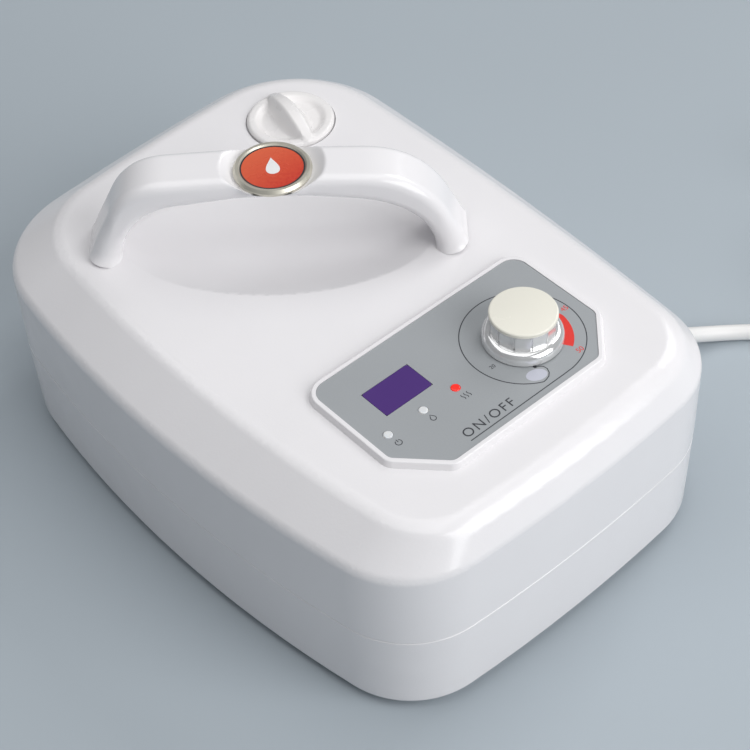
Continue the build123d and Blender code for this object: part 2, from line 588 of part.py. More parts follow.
# Carry handle: arch with splayed legs, soft edges, vertical tangs and a round badge seat
with BuildPart() as carry_handle:
    with BuildSketch(HANDLE_PLANE) as arch:
        with BuildLine():
            Polyline(
                (-KNEE_OUTER, KNEE_OUTER_Z),
                (-FOOT_OUTER, ANKLE_Z),
                (-FOOT_OUTER, TANG_BOTTOM),
                (-FOOT_INNER, TANG_BOTTOM),
                (-FOOT_INNER, ANKLE_Z),
                (-KNEE_INNER, KNEE_INNER_Z),
            )
            ThreePointArc((-KNEE_INNER, KNEE_INNER_Z), (0, CROWN_UNDER), (KNEE_INNER, KNEE_INNER_Z))
            Polyline(
                (KNEE_INNER, KNEE_INNER_Z),
                (FOOT_INNER, ANKLE_Z),
                (FOOT_INNER, TANG_BOTTOM),
                (FOOT_OUTER, TANG_BOTTOM),
                (FOOT_OUTER, ANKLE_Z),
                (KNEE_OUTER, KNEE_OUTER_Z),
            )
            ThreePointArc((KNEE_OUTER, KNEE_OUTER_Z), (0, CROWN_TOP), (-KNEE_OUTER, KNEE_OUTER_Z))
        make_face()
        for side in (-1, 1):
            for x, z, bend in (
                (KNEE_OUTER, KNEE_OUTER_Z, OUTER_BEND),
                (KNEE_INNER, KNEE_INNER_Z, INNER_BEND),
                (FOOT_OUTER, ANKLE_Z, ANKLE_BEND),
                (FOOT_INNER, ANKLE_Z, ANKLE_BEND),
            ):
                fillet(arch.vertices().sort_by_distance((side * x, z))[0], bend)
    extrude(amount=HANDLE_WIDTH / 2, both=True)
    flanks = carry_handle.faces().filter_by(Axis((0, 0, 0), ACROSS))
    long_edges = [e for e in flanks.edges() if e.center().Z > TANG_BOTTOM + 1]
    fillet(long_edges, HANDLE_EDGE)
    with BuildSketch(HANDLE_PLAN.offset(PAD_BOTTOM)):
        Circle(PAD_RADIUS)
    extrude(amount=PAD_TOP - PAD_BOTTOM)
    pad_rims = carry_handle.edges().filter_by(GeomType.CIRCLE)
    fillet([e for e in pad_rims if abs(e.center().Z - PAD_BOTTOM) < 0.01], PAD_EDGE)
    with BuildSketch(HANDLE_PLANE):
        with BuildLine():
            Polyline(
                (0, PAD_TOP),
                (SEAT_RADIUS, PAD_TOP),
                (SEAT_MOUTH, CROWN_TOP),
                (SEAT_MOUTH, CROWN_TOP + 5),
                (0, CROWN_TOP + 5),
                close=True,
            )
        make_face()
    revolve(axis=Axis((HANDLE_X, HANDLE_Y, 0), (0, 0, 1)), mode=Mode.SUBTRACT)
    with BuildSketch(HANDLE_PLAN.offset(TANG_BOTTOM)):
        with Locations(*TANG_SCREWS):
            Circle(PILOT_RADIUS)
    extrude(amount=TANG_PILOT, mode=Mode.SUBTRACT)
carry_handle.part.label = "carry_handle"

screw_plan = HANDLE_PLAN.offset(TANG_BOTTOM - SOCKET_FLOOR)
with BuildPart() as handle_screws:
    with Locations(*[screw_plan * Location((x, y, 0)) for x, y in TANG_SCREWS]):
        add(screw(**HANDLE_SCREW))
handle_screws.part.label = "handle_screws"

badge_origin = (HANDLE_X, HANDLE_Y, PAD_TOP)
ring_height = RING_TOP - PAD_TOP
with BuildPart() as badge_ring:
    add(
        turned(
            [
                (0, RING_BORE),
                (0, RING_RADIUS - 0.2),
                (ring_height * 0.5, RING_RADIUS),
                (ring_height, RING_RADIUS - 1.0),
                (ring_height, RING_BORE + 0.8),
                (ring_height * 0.7, RING_BORE),
            ],
            badge_origin,
            (0, 0, 1),
        )
    )
badge_ring.part.label = "badge_ring"

with BuildPart() as badge_disc:
    with BuildSketch(HANDLE_PLANE):
        with BuildLine():
            Polyline((0, DISC_CROWN), (0, PAD_TOP), (RING_BORE, PAD_TOP), (RING_BORE, DISC_TOP))
            middle = (RING_BORE / 2, dome_middle(RING_BORE, DISC_TOP, DISC_CROWN))
            ThreePointArc((RING_BORE, DISC_TOP), middle, (0, DISC_CROWN))
        make_face()
    revolve(axis=Axis((HANDLE_X, HANDLE_Y, 0), (0, 0, 1)))
badge_disc.part.label = "badge_disc"

# Printed panel sheet, display, lamps
with BuildPart() as panel_overlay:
    with BuildSketch(Plane.XY.offset(OVERLAY_FLOOR)):
        add(panel_outline(0))
        with Locations((WINDOW_X, WINDOW_Y)):
            Rectangle(WINDOW_W + 2 * OVERLAY_GAP, WINDOW_H + 2 * OVERLAY_GAP, mode=Mode.SUBTRACT)
        with Locations(*LAMPS.values()):
            Circle(LAMP_RADIUS + PORT_GAP, mode=Mode.SUBTRACT)
        with Locations((DIAL_X, DIAL_Y)):
            Circle(NUT_HOLE, mode=Mode.SUBTRACT)
    extrude(amount=OVERLAY_TOP - OVERLAY_FLOOR)
panel_overlay.part.label = "panel_overlay"

with BuildPart() as display_window:
    with BuildSketch(Plane.XY.offset(MODULE_TOP)):
        with Locations((WINDOW_X, WINDOW_Y)):
            RectangleRounded(WINDOW_W, WINDOW_H, WINDOW_CORNER)
    extrude(amount=OVERLAY_TOP - MODULE_TOP)
display_window.part.label = "display_window"

with BuildPart() as display_module:
    with BuildSketch(Plane.XY.offset(BOARD_TOP)):
        with Locations((WINDOW_X, WINDOW_Y)):
            Rectangle(MODULE_W, MODULE_H)
    extrude(amount=MODULE_TOP - BOARD_TOP)
display_module.part.label = "display_module"

lamp_parts = {}
for lamp_name, (lamp_x, lamp_y) in LAMPS.items():
    with BuildPart() as lamp:
        with BuildSketch(Plane.XY.offset(CEILING - LAMP_FLANGE)):
            with Locations((lamp_x, lamp_y)):
                Circle(LAMP_RADIUS + 1)
        extrude(amount=LAMP_FLANGE)
        with BuildSketch(Plane.XY.offset(CEILING)):
            with Locations((lamp_x, lamp_y)):
                Circle(LAMP_RADIUS)
        extrude(amount=LAMP_TOP - CEILING)
        fillet(lamp.faces().sort_by(Axis.Z)[-1].edges(), LAMP_EDGE)
    lamp.part.label = lamp_name
    lamp_parts[lamp_name] = lamp.part

# Temperature control: square body below the roof, threaded bushing and nut through it
with BuildPart() as rotary_control:
    with BuildSketch(Plane.XY.offset(BOARD_TOP)):
        with Locations((DIAL_X, DIAL_Y)):
            RectangleRounded(CONTROL_SIZE, CONTROL_SIZE, 1.5)
    extrude(amount=CEILING - BOARD_TOP)
    with BuildSketch(Plane.XY.offset(CEILING)):
        with Locations((DIAL_X, DIAL_Y)):
            Circle(BUSHING_RADIUS)
    extrude(amount=BUSHING_TOP - CEILING)
    with BuildSketch(Plane.XY.offset(SHAFT_BOTTOM - 0.1)):
        with Locations((DIAL_X, DIAL_Y)):
            Circle(SHAFT_RADIUS + SHAFT_FIT)
    extrude(amount=BUSHING_TOP, mode=Mode.SUBTRACT)
rotary_control.part.label = "rotary_control"

with BuildPart() as control_nut:
    with BuildSketch(Plane.XY.offset(OVERLAY_FLOOR)):
        with Locations((DIAL_X, DIAL_Y)):
            RegularPolygon(CONTROL_NUT_AF / 2, 6, major_radius=False)
            Circle(BUSHING_RADIUS + PORT_GAP, mode=Mode.SUBTRACT)
    extrude(amount=CONTROL_NUT_HEIGHT)
control_nut.part.label = "control_nut"

# Dial: rounded skirt, faceted collar with grooves, cream top disc, shaft with a flat
dial_origin = (DIAL_X, DIAL_Y, 0)
with BuildPart() as dial_knob:
    with BuildSketch(Plane(origin=dial_origin, x_dir=(1, 0, 0), z_dir=(0, -1, 0))):
        with BuildLine():
            Polyline((0, SKIRT_BOTTOM), (SKIRT_RADIUS, SKIRT_BOTTOM), (SKIRT_RADIUS, SKIRT_LIP))
            ThreePointArc(
                (SKIRT_RADIUS, SKIRT_LIP),
                (SKIRT_RADIUS - 0.9, SKIRT_LIP + 2.0),
                (DRUM_RADIUS + 0.2, SKIRT_TOP),
            )
            Polyline((DRUM_RADIUS + 0.2, SKIRT_TOP), (0, SKIRT_TOP), (0, SKIRT_BOTTOM))
        make_face()
    revolve(axis=Axis(dial_origin, (0, 0, 1)))
    with BuildSketch(Plane.XY.offset(SKIRT_TOP)):
        with Locations((DIAL_X, DIAL_Y)):
            RegularPolygon(DRUM_RADIUS, FACETS)
            with PolarLocations(DRUM_RADIUS, FACETS):
                Rectangle(2 * GROOVE_DEPTH, GROOVE_WIDTH, mode=Mode.SUBTRACT)
    extrude(amount=DRUM_TOP - SKIRT_TOP)
    with BuildSketch(Plane.XY.offset(SKIRT_BOTTOM)):
        with Locations((DIAL_X, DIAL_Y)):
            Circle(KNOB_HOLLOW)
    extrude(amount=KNOB_CEILING - SKIRT_BOTTOM, mode=Mode.SUBTRACT)
    with BuildSketch(Plane.XY.offset(HUB_BOTTOM)):
        with Locations((DIAL_X, DIAL_Y)):
            Circle(HUB_RADIUS)
    extrude(amount=DRUM_TOP - HUB_BOTTOM)
    with BuildSketch(Plane.XY.offset(HUB_BOTTOM)):
        with Locations((DIAL_X, DIAL_Y)):
            Circle(SHAFT_RADIUS + SHAFT_FIT)
        with Locations((DIAL_X + FLAT_AT + SHAFT_FIT + SHAFT_RADIUS, DIAL_Y)):
            Rectangle(2 * SHAFT_RADIUS, 4 * SHAFT_RADIUS, mode=Mode.SUBTRACT)
    extrude(amount=SHAFT_TOP - HUB_BOTTOM, mode=Mode.SUBTRACT)
dial_knob.part.label = "dial_knob"

with BuildPart() as knob_cap:
    with BuildSketch(Plane(origin=dial_origin, x_dir=(1, 0, 0), z_dir=(0, -1, 0))):
        with BuildLine():
            Polyline(
                (0, CAP_CROWN), (0, DRUM_TOP), (CAP_RADIUS - 0.4, DRUM_TOP), (CAP_RADIUS, DRUM_TOP + 0.4)
            )
            Line((CAP_RADIUS, DRUM_TOP + 0.4), (CAP_RADIUS, CAP_TOP - 0.5))
            ThreePointArc(
                (CAP_RADIUS, CAP_TOP - 0.5), (CAP_RADIUS - 0.3, CAP_TOP - 0.1), (CAP_RADIUS - 1, CAP_TOP + 0.1)
            )
            middle = ((CAP_RADIUS - 1) / 2, dome_middle(CAP_RADIUS - 1, CAP_TOP + 0.1, CAP_CROWN))
            ThreePointArc((CAP_RADIUS - 1, CAP_TOP + 0.1), middle, (0, CAP_CROWN))
        make_face()
    revolve(axis=Axis(dial_origin, (0, 0, 1)))
knob_cap.part.label = "knob_cap"

with BuildPart() as dial_shaft:
    with BuildSketch(Plane.XY.offset(SHAFT_BOTTOM)):
        with Locations((DIAL_X, DIAL_Y)):
            Circle(SHAFT_RADIUS)
    extrude(amount=SHAFT_TOP - SHAFT_BOTTOM)
    with BuildSketch(Plane.XY.offset(HUB_BOTTOM - 0.5)):
        with Locations((DIAL_X + FLAT_AT + SHAFT_RADIUS, DIAL_Y)):
            Rectangle(2 * SHAFT_RADIUS, 4 * SHAFT_RADIUS)
    extrude(amount=SHAFT_TOP, mode=Mode.SUBTRACT)
dial_shaft.part.label = "dial_shaft"

# Boards
with BuildPart() as control_board:
    with BuildSketch(Plane.XY.offset(BOARD_TOP - BOARD_THICK)):
        with Locations((BOARD_X, BOARD_Y)):
            RectangleRounded(BOARD_W, BOARD_H, BOARD_CORNER)
        with Locations(*BOARD_BOSSES):
            Circle(BOARD_HOLE, mode=Mode.SUBTRACT)
    extrude(amount=BOARD_THICK)
control_board.part.label = "control_board"

with BuildPart() as board_screws:
    with Locations(*[(x, y, BOARD_TOP - BOARD_THICK) for x, y in BOARD_BOSSES]):
        add(screw(**BOARD_SCREW))
board_screws.part.label = "board_screws"

with BuildPart() as power_board:
    with BuildSketch(Plane.XY.offset(POWER_BOARD_Z)):
        with Locations((POWER_X, POWER_Y)):
            RectangleRounded(POWER_W, POWER_H, BOARD_CORNER)
    extrude(amount=BOARD_THICK)
    with BuildSketch(Plane.XY.offset(POWER_BOARD_Z + BOARD_THICK)):
        with Locations(*CAPACITORS):
            Circle(CAPACITOR_RADIUS)
    extrude(amount=CAPACITOR_HEIGHT)
    with BuildSketch(Plane.XY.offset(POWER_BOARD_Z + BOARD_THICK)):
        with Locations((SINK_X, SINK_Y)):
            Rectangle(SINK_LENGTH, SINK_THICK)
    extrude(amount=SINK_HEIGHT)
power_board.part.label = "power_board"

with BuildPart() as transformer:
    with BuildSketch(Plane.XY.offset(POWER_BOARD_Z + BOARD_THICK)):
        with Locations((TRANSFORMER_X, TRANSFORMER_Y)):
            Rectangle(CORE_WIDTH, CORE_DEPTH)
    extrude(amount=CORE_HEIGHT)
    with BuildSketch(Plane.XY.offset(POWER_BOARD_Z + BOARD_THICK + BOBBIN_LIFT)):
        with Locations((TRANSFORMER_X, TRANSFORMER_Y)):
            RectangleRounded(BOBBIN_WIDTH, BOBBIN_DEPTH, BOBBIN_CORNER)
    extrude(amount=BOBBIN_HEIGHT)
    fillet(transformer.faces().sort_by(Axis.Z)[-1].edges(), CORE_EDGE)
transformer.part.label = "transformer"

with BuildPart() as terminal_block:
    with BuildSketch(Plane.XY.offset(FLOOR)):
        with Locations(((TERMINAL_X0 + TERMINAL_X1) / 2, GLAND_Y)):
            Rectangle(TERMINAL_X1 - TERMINAL_X0, TERMINAL_DEPTH)
    extrude(amount=GLAND_Z + TERMINAL_RISE - FLOOR)
    with BuildSketch(Plane.XY.offset(GLAND_Z + TERMINAL_RISE)):
        with Locations(((TERMINAL_X0 + TERMINAL_X1) / 2, GLAND_Y)):
            with GridLocations(0, TERMINAL_PITCH, 1, TERMINAL_COUNT):
                Circle(TERMINAL_HOLE)
    extrude(amount=-TERMINAL_DRILL, mode=Mode.SUBTRACT)
terminal_block.part.label = "terminal_block"

# Tank: open tray, lid with filler neck, and a rod that guides the level float
with BuildPart() as tank_base:
    with BuildSketch(Plane.XY.offset(TANK_BOTTOM)):
        add(tank_outline(0))
    extrude(amount=TANK_TOP - TANK_BOTTOM)
    fillet(tank_base.faces().sort_by(Axis.Z)[0].edges(), 3)
    with BuildSketch(Plane.XY.offset(TANK_BOTTOM + TANK_WALL)):
        add(tank_outline(TANK_WALL))
    extrude(amount=TANK_TOP, mode=Mode.SUBTRACT)
    for y, z in ((TANK_OUT_Y, OUT_Z), (RETURN_Y, NOZZLE_Z)):
        with BuildSketch(facing((TANK_X0, y, z), (-1, 0, 0))):
            Circle(SPIGOT_RADIUS)
        extrude(amount=SPIGOT_LENGTH)
        with BuildSketch(facing((TANK_X0 + 2 * TANK_WALL, y, z), (-1, 0, 0))):
            Circle(SPIGOT_BORE)
        extrude(amount=SPIGOT_LENGTH + 3 * TANK_WALL, mode=Mode.SUBTRACT)
tank_base.part.label = "tank_base"

with BuildPart() as tank_lid:
    with BuildSketch(Plane.XY.offset(TANK_TOP)):
        add(tank_outline(0))
    extrude(amount=LID_TOP - TANK_TOP)
    with BuildSketch(Plane.XY.offset(TANK_TOP)):
        add(tank_outline(TANK_WALL + LAP_GAP))
        add(tank_outline(2 * TANK_WALL), mode=Mode.SUBTRACT)
    extrude(amount=-TANK_WALL)
    with BuildSketch(Plane.XY.offset(TANK_TOP)):
        with Locations((FILL_X, FILL_Y)):
            Circle(NECK_RADIUS)
    extrude(amount=NECK_TOP - TANK_TOP)
    with BuildSketch(Plane.XY.offset(TANK_TOP - TANK_WALL)):
        with Locations((FILL_X, FILL_Y)):
            Circle(NECK_BORE)
    extrude(amount=ROOF, mode=Mode.SUBTRACT)
tank_lid.part.label = "tank_lid"

guide_foot = TANK_BOTTOM + TANK_WALL
collar = FLOAT_REST + FLOAT_HEIGHT + FLOAT_TRAVEL
with BuildPart() as float_guide:
    add(
        turned(
            [
                (0, 0),
                (0, 5),
                (FLOAT_REST - guide_foot, 5),
                (FLOAT_REST - guide_foot, GUIDE_RADIUS),
                (collar - guide_foot, GUIDE_RADIUS),
                (collar - guide_foot, 4),
                (collar - guide_foot + 2, 4),
                (collar - guide_foot + 2, GUIDE_RADIUS),
                (TANK_TOP - guide_foot, GUIDE_RADIUS),
                (TANK_TOP - guide_foot, 0),
            ],
            (GUIDE_X, GUIDE_Y, guide_foot),
            (0, 0, 1),
        )
    )
float_guide.part.label = "float_guide"

with BuildPart() as level_float:
    with BuildSketch(Plane.XY.offset(FLOAT_REST)):
        with Locations((GUIDE_X, GUIDE_Y)):
            Circle(FLOAT_RADIUS)
            Circle(GUIDE_RADIUS + 0.3, mode=Mode.SUBTRACT)
    extrude(amount=FLOAT_HEIGHT)
    outer_rims = [e for e in level_float.edges().filter_by(GeomType.CIRCLE) if e.radius > 5]
    fillet(outer_rims, 2)
level_float.part.label = "level_float"

# Fill cap with a grip fin between two scooped sides, and its sealing ring
with BuildPart() as fill_cap:
    with BuildSketch(Plane.XY.offset(FILL_BOTTOM)):
        with Locations((FILL_X, FILL_Y)):
            Circle(FILL_RADIUS)
    extrude(amount=FILL_TOP - FILL_BOTTOM)
    fillet(fill_cap.faces().sort_by(Axis.Z)[-1].edges(), FILL_EDGE)
    with BuildSketch(Plane.XY.offset(FILL_BOTTOM)):
        with Locations((FILL_X, FILL_Y)):
            Circle(PLUG_RADIUS)
            Circle(PLUG_BORE, mode=Mode.SUBTRACT)
    extrude(amount=PLUG_BOTTOM - FILL_BOTTOM)
    scoop_ball = (SCOOP_RADIUS**2 + SCOOP_DEPTH**2) / (2 * SCOOP_DEPTH)
    for side in (0, 180):
        turn = radians(GRIP_ANGLE - 90 + side)
        flank = (FILL_X + cos(turn) * GRIP_WIDTH / 2, FILL_Y + sin(turn) * GRIP_WIDTH / 2, FILL_TOP)
        fin_line = (-sin(turn), cos(turn), 0)
        with BuildSketch(Plane(origin=flank, x_dir=fin_line, z_dir=(cos(turn), sin(turn), 0))):
            with BuildLine():
                ThreePointArc(
                    (0, -SCOOP_DEPTH),
                    (SCOOP_RADIUS * 0.6, -SCOOP_DEPTH + scoop_ball - sqrt(scoop_ball**2 - (SCOOP_RADIUS * 0.6) ** 2)),
                    (SCOOP_RADIUS, 0),
                )
                Polyline((SCOOP_RADIUS, 0), (SCOOP_RADIUS, 2), (0, 2), (0, -SCOOP_DEPTH))
            make_face()
        revolve(axis=Axis(flank, (0, 0, 1)), revolution_arc=180, mode=Mode.SUBTRACT)
fill_cap.part.label = "fill_cap"

with BuildPart() as cap_seal:
    with BuildSketch(Plane.XY.offset(NECK_TOP)):
        with Locations((FILL_X, FILL_Y)):
            Circle(NECK_RADIUS)
            Circle(SEAL_BORE, mode=Mode.SUBTRACT)
    extrude(amount=FILL_BOTTOM - NECK_TOP)
cap_seal.part.label = "cap_seal"

# Pump: motor on a foot block, volute with a side outlet, cover with inlet, pin and impeller
volute_front = PUMP_BACK - VOLUTE_DEPTH
chamber_floor = PUMP_BACK - CHAMBER_DEPTH
with BuildPart() as pump_body:
    with BuildSketch(facing((PUMP_X, volute_front - MOTOR_LENGTH, PUMP_Z), (0, 1, 0))):
        Circle(MOTOR_RADIUS)
    extrude(amount=MOTOR_LENGTH)
    with BuildSketch(facing((PUMP_X, volute_front, PUMP_Z), (0, 1, 0))):
        Circle(VOLUTE_RADIUS)
    extrude(amount=VOLUTE_DEPTH)
    with BuildSketch(Plane.XY.offset(FLOOR)):
        with Locations((PUMP_X, volute_front - MOTOR_LENGTH / 2)):
            Rectangle(24, 26)
    extrude(amount=PUMP_Z - MOTOR_RADIUS * 0.6 - FLOOR)
    with BuildSketch(facing((PUMP_X - 8, PUMP_OUT_Y, PUMP_OUT_Z), (-1, 0, 0))):
        Circle(PUMP_BOSS)
    extrude(amount=PUMP_X - 8 - PUMP_OUT_X)
    with BuildSketch(facing((PUMP_OUT_X, PUMP_OUT_Y, PUMP_OUT_Z), (-1, 0, 0))):
        Circle(SPIGOT_RADIUS)
    extrude(amount=SPIGOT_LENGTH)
    with BuildSketch(facing((PUMP_X, chamber_floor, PUMP_Z), (0, 1, 0))):
        Circle(CHAMBER_RADIUS)
    extrude(amount=CHAMBER_DEPTH, mode=Mode.SUBTRACT)
    with BuildSketch(facing((PUMP_X - 8, PUMP_OUT_Y, PUMP_OUT_Z), (-1, 0, 0))):
        Circle(SPIGOT_BORE)
    extrude(amount=60, mode=Mode.SUBTRACT)
    with BuildSketch(facing((PUMP_X, volute_front, PUMP_Z), (0, 1, 0))):
        Circle(PIN_RADIUS)
    extrude(amount=VOLUTE_DEPTH, mode=Mode.SUBTRACT)
pump_body.part.label = "pump_body"

with BuildPart() as pump_cover:
    with BuildSketch(facing((PUMP_X, PUMP_BACK, PUMP_Z), (0, 1, 0))):
        Circle(VOLUTE_RADIUS)
    extrude(amount=COVER_DEPTH)
    with BuildSketch(facing((PUMP_X, PUMP_BACK + COVER_DEPTH, PUMP_Z), (0, 1, 0))):
        Circle(SPIGOT_RADIUS)
    extrude(amount=SPIGOT_LENGTH)
    with BuildSketch(facing((PUMP_X, PUMP_BACK, PUMP_Z), (0, 1, 0))):
        Circle(SPIGOT_BORE)
    extrude(amount=COVER_DEPTH + SPIGOT_LENGTH, mode=Mode.SUBTRACT)
pump_cover.part.label = "pump_cover"

with BuildPart() as pump_shaft:
    with BuildSketch(facing((PUMP_X, volute_front, PUMP_Z), (0, 1, 0))):
        Circle(PIN_RADIUS)
    extrude(amount=VOLUTE_DEPTH - 1.5)
pump_shaft.part.label = "pump_shaft"

with BuildPart() as pump_impeller:
    with BuildSketch(facing((PUMP_X, chamber_floor + 0.5, PUMP_Z), (0, 1, 0))):
        Circle(IMPELLER_RADIUS)
    extrude(amount=IMPELLER_DISC)
    with BuildSketch(facing((PUMP_X, chamber_floor + 0.5 + IMPELLER_DISC, PUMP_Z), (0, 1, 0))):
        Circle(IMPELLER_EYE)
        with PolarLocations(IMPELLER_RADIUS * 0.55, BLADE_COUNT):
            Rectangle(IMPELLER_RADIUS * 0.8, BLADE_THICK)
    extrude(amount=BLADE_HEIGHT)
    with BuildSketch(facing((PUMP_X, chamber_floor, PUMP_Z), (0, 1, 0))):
        Circle(PIN_RADIUS + SHAFT_FIT)
    extrude(amount=CHAMBER_DEPTH, mode=Mode.SUBTRACT)
pump_impeller.part.label = "pump_impeller"

# Heater block with a thermal cut-out strapped on top
with BuildPart() as heater_block:
    with BuildSketch(facing((HEATER_X, HEATER_Y0, HEATER_Z), (0, 1, 0))):
        RectangleRounded(HEATER_SIZE, HEATER_SIZE, 3)
    extrude(amount=HEATER_Y1 - HEATER_Y0)
    for y, way in ((HEATER_Y0, -1), (HEATER_Y1, 1)):
        with BuildSketch(facing((HEATER_X, y, HEATER_Z), (0, way, 0))):
            Circle(SPIGOT_RADIUS)
        extrude(amount=SPIGOT_LENGTH)
    with BuildSketch(facing((HEATER_X, HEATER_Y0 - SPIGOT_LENGTH, HEATER_Z), (0, 1, 0))):
        Circle(SPIGOT_BORE)
    extrude(amount=HEATER_Y1 - HEATER_Y0 + 2 * SPIGOT_LENGTH, mode=Mode.SUBTRACT)
heater_block.part.label = "heater_block"

heater_top = HEATER_Z + HEATER_SIZE / 2
heater_middle = (HEATER_Y0 + HEATER_Y1) / 2
with BuildPart() as thermal_cutout:
    with BuildSketch(Plane.XY.offset(heater_top)):
        with Locations((HEATER_X, heater_middle)):
            Circle(CUTOUT_RADIUS)
    extrude(amount=CUTOUT_HEIGHT)
thermal_cutout.part.label = "thermal_cutout"

strap_half = HEATER_SIZE / 2
strap_top = heater_top + CUTOUT_HEIGHT
with BuildPart() as cutout_strap:
    with BuildSketch(Plane(origin=(HEATER_X, heater_middle, 0), x_dir=(1, 0, 0), z_dir=(0, -1, 0))):
        with BuildLine():
            Polyline(
                (-strap_half, STRAP_LOW),
                (-strap_half, strap_top),
                (strap_half, strap_top),
                (strap_half, STRAP_LOW),
                (strap_half + STRAP_THICK, STRAP_LOW),
                (strap_half + STRAP_THICK, strap_top + STRAP_THICK),
                (-strap_half - STRAP_THICK, strap_top + STRAP_THICK),
                (-strap_half - STRAP_THICK, STRAP_LOW),
                close=True,
            )
        make_face()
    extrude(amount=STRAP_WIDTH / 2, both=True)
cutout_strap.part.label = "cutout_strap"

# Silicone hoses: each end slides over a spigot and stops against its shoulder
HOSE_RUNS = {
    "hose_tank_pump": (
        [(TANK_X0, TANK_OUT_Y, OUT_Z), (PUMP_X, TANK_OUT_Y, OUT_Z), (PUMP_X, PUMP_BACK + COVER_DEPTH, OUT_Z)],
        [HOSE_BEND_WIDE],
    ),
    "hose_pump_heater": (
        [
            (PUMP_OUT_X, PUMP_OUT_Y, PUMP_OUT_Z),
            (HEATER_X, PUMP_OUT_Y, PUMP_OUT_Z),
            (HEATER_X, HEATER_Y0, HEATER_Z),
        ],
        [HOSE_BEND],
    ),
    "hose_heater_outlet": (
        [
            (HEATER_X, HEATER_Y1, HEATER_Z),
            (HEATER_X, HEATER_Y1 + 21, HEATER_Z),
            (NOZZLE_OUT_X, NOZZLE_NUT - 17.4, NOZZLE_Z),
            (NOZZLE_OUT_X, NOZZLE_NUT, NOZZLE_Z),
        ],
        [HOSE_BEND_TIGHT, HOSE_BEND_TIGHT],
    ),
    "hose_return": (
        [
            (NOZZLE_RETURN_X, NOZZLE_NUT, NOZZLE_Z),
            (NOZZLE_RETURN_X, RETURN_Y, NOZZLE_Z),
            (TANK_X0, RETURN_Y, NOZZLE_Z),
        ],
        [HOSE_BEND],
    ),
}
hose_parts = {}
for hose_name, (hose_points, hose_radii) in HOSE_RUNS.items():
    hose = tube(hose_points, hose_radii, HOSE_RADIUS, HOSE_BORE)
    hose.label = hose_name
    hose_parts[hose_name] = hose

CLAMPS = [
    ((TANK_X0 - 8, TANK_OUT_Y, OUT_Z), (1, 0, 0)),
    ((TANK_X0 - 8, RETURN_Y, NOZZLE_Z), (1, 0, 0)),
    ((PUMP_OUT_X - 8, PUMP_OUT_Y, PUMP_OUT_Z), (1, 0, 0)),
    ((PUMP_X, PUMP_BACK + COVER_DEPTH + 3, PUMP_Z), (0, 1, 0)),
    ((HEATER_X, HEATER_Y0 - 8, HEATER_Z), (0, 1, 0)),
    ((HEATER_X, HEATER_Y1 + 3, HEATER_Z), (0, 1, 0)),
    ((NOZZLE_OUT_X, NOZZLE_NUT - 8, NOZZLE_Z), (0, 1, 0)),
    ((NOZZLE_RETURN_X, NOZZLE_NUT - 8, NOZZLE_Z), (0, 1, 0)),
]
with BuildPart() as hose_clamps:
    for origin, direction in CLAMPS:
        with BuildSketch(Plane(origin=origin, x_dir=(direction[1], direction[0], 0), z_dir=direction)):
            Circle(HOSE_RADIUS + CLAMP_THICK)
            with Locations((0, HOSE_RADIUS + 1.5)):
                Rectangle(5, 4)
            Circle(HOSE_RADIUS + 0.02, mode=Mode.SUBTRACT)
        extrude(amount=CLAMP_WIDTH)
hose_clamps.part.label = "hose_clamps"

# Nozzles through the back wall, their washers and nuts inside
nozzle_parts = {}
for nozzle_name, nozzle_x in (("outlet_nozzle", NOZZLE_OUT_X), ("return_nozzle", NOZZLE_RETURN_X)):
    reach = NOZZLE_TIP - NOZZLE_NUT
    flange_at = NOZZLE_SEAT - NOZZLE_NUT
    collar_at = NOZZLE_FLANGE - NOZZLE_NUT
    nozzle = turned(
        [
            (-INNER_SPIGOT, SPIGOT_BORE),
            (-INNER_SPIGOT, SPIGOT_RADIUS - 0.5),
            (-INNER_SPIGOT + 0.5, SPIGOT_RADIUS),
            (0, SPIGOT_RADIUS),
            (0, NOZZLE_BODY),
            (flange_at, NOZZLE_BODY),
            (flange_at, NOZZLE_RIM),
            (collar_at - 0.6, NOZZLE_RIM),
            (collar_at, NOZZLE_RIM - 0.6),
            (collar_at, SPIGOT_RADIUS),
            (reach - 0.6, SPIGOT_RADIUS),
            (reach, SPIGOT_RADIUS - 0.6),
            (reach, SPIGOT_BORE),
        ],
        (nozzle_x, NOZZLE_NUT, NOZZLE_Z),
        (0, 1, 0),
    )
    nozzle.label = nozzle_name
    nozzle_parts[nozzle_name] = nozzle

with BuildPart() as nozzle_washers:
    for x in (NOZZLE_OUT_X, NOZZLE_RETURN_X):
        with BuildSketch(facing((x, NOZZLE_PAD, NOZZLE_Z), (0, -1, 0))):
            Circle(NOZZLE_RIM)
            Circle(NOZZLE_BODY + SHAFT_FIT, mode=Mode.SUBTRACT)
        extrude(amount=WASHER_THICK)
nozzle_washers.part.label = "nozzle_washers"

with BuildPart() as nozzle_nuts:
    for x in (NOZZLE_OUT_X, NOZZLE_RETURN_X):
        with BuildSketch(facing((x, NOZZLE_PAD - WASHER_THICK, NOZZLE_Z), (0, -1, 0))):
            RegularPolygon(NOZZLE_HEX / 2, 6, major_radius=False)
            Circle(NOZZLE_BODY + SHAFT_FIT, mode=Mode.SUBTRACT)
        extrude(amount=NOZZLE_PAD - WASHER_THICK - NOZZLE_NUT)
nozzle_nuts.part.label = "nozzle_nuts"

with BuildPart() as rubber_feet:
    with Locations(*FEET):
        add(
            turned(
                [
                    (0, 0),
                    (0, FOOT_RADIUS - 1.4),
                    (0.6, FOOT_RADIUS - 0.8),
                    (FOOT_TOP, FOOT_RADIUS),
                    (FOOT_TOP, 0),
                ],
                (0, 0, 0),
                (0, 0, 1),
            )
        )
rubber_feet.part.label = "rubber_feet"

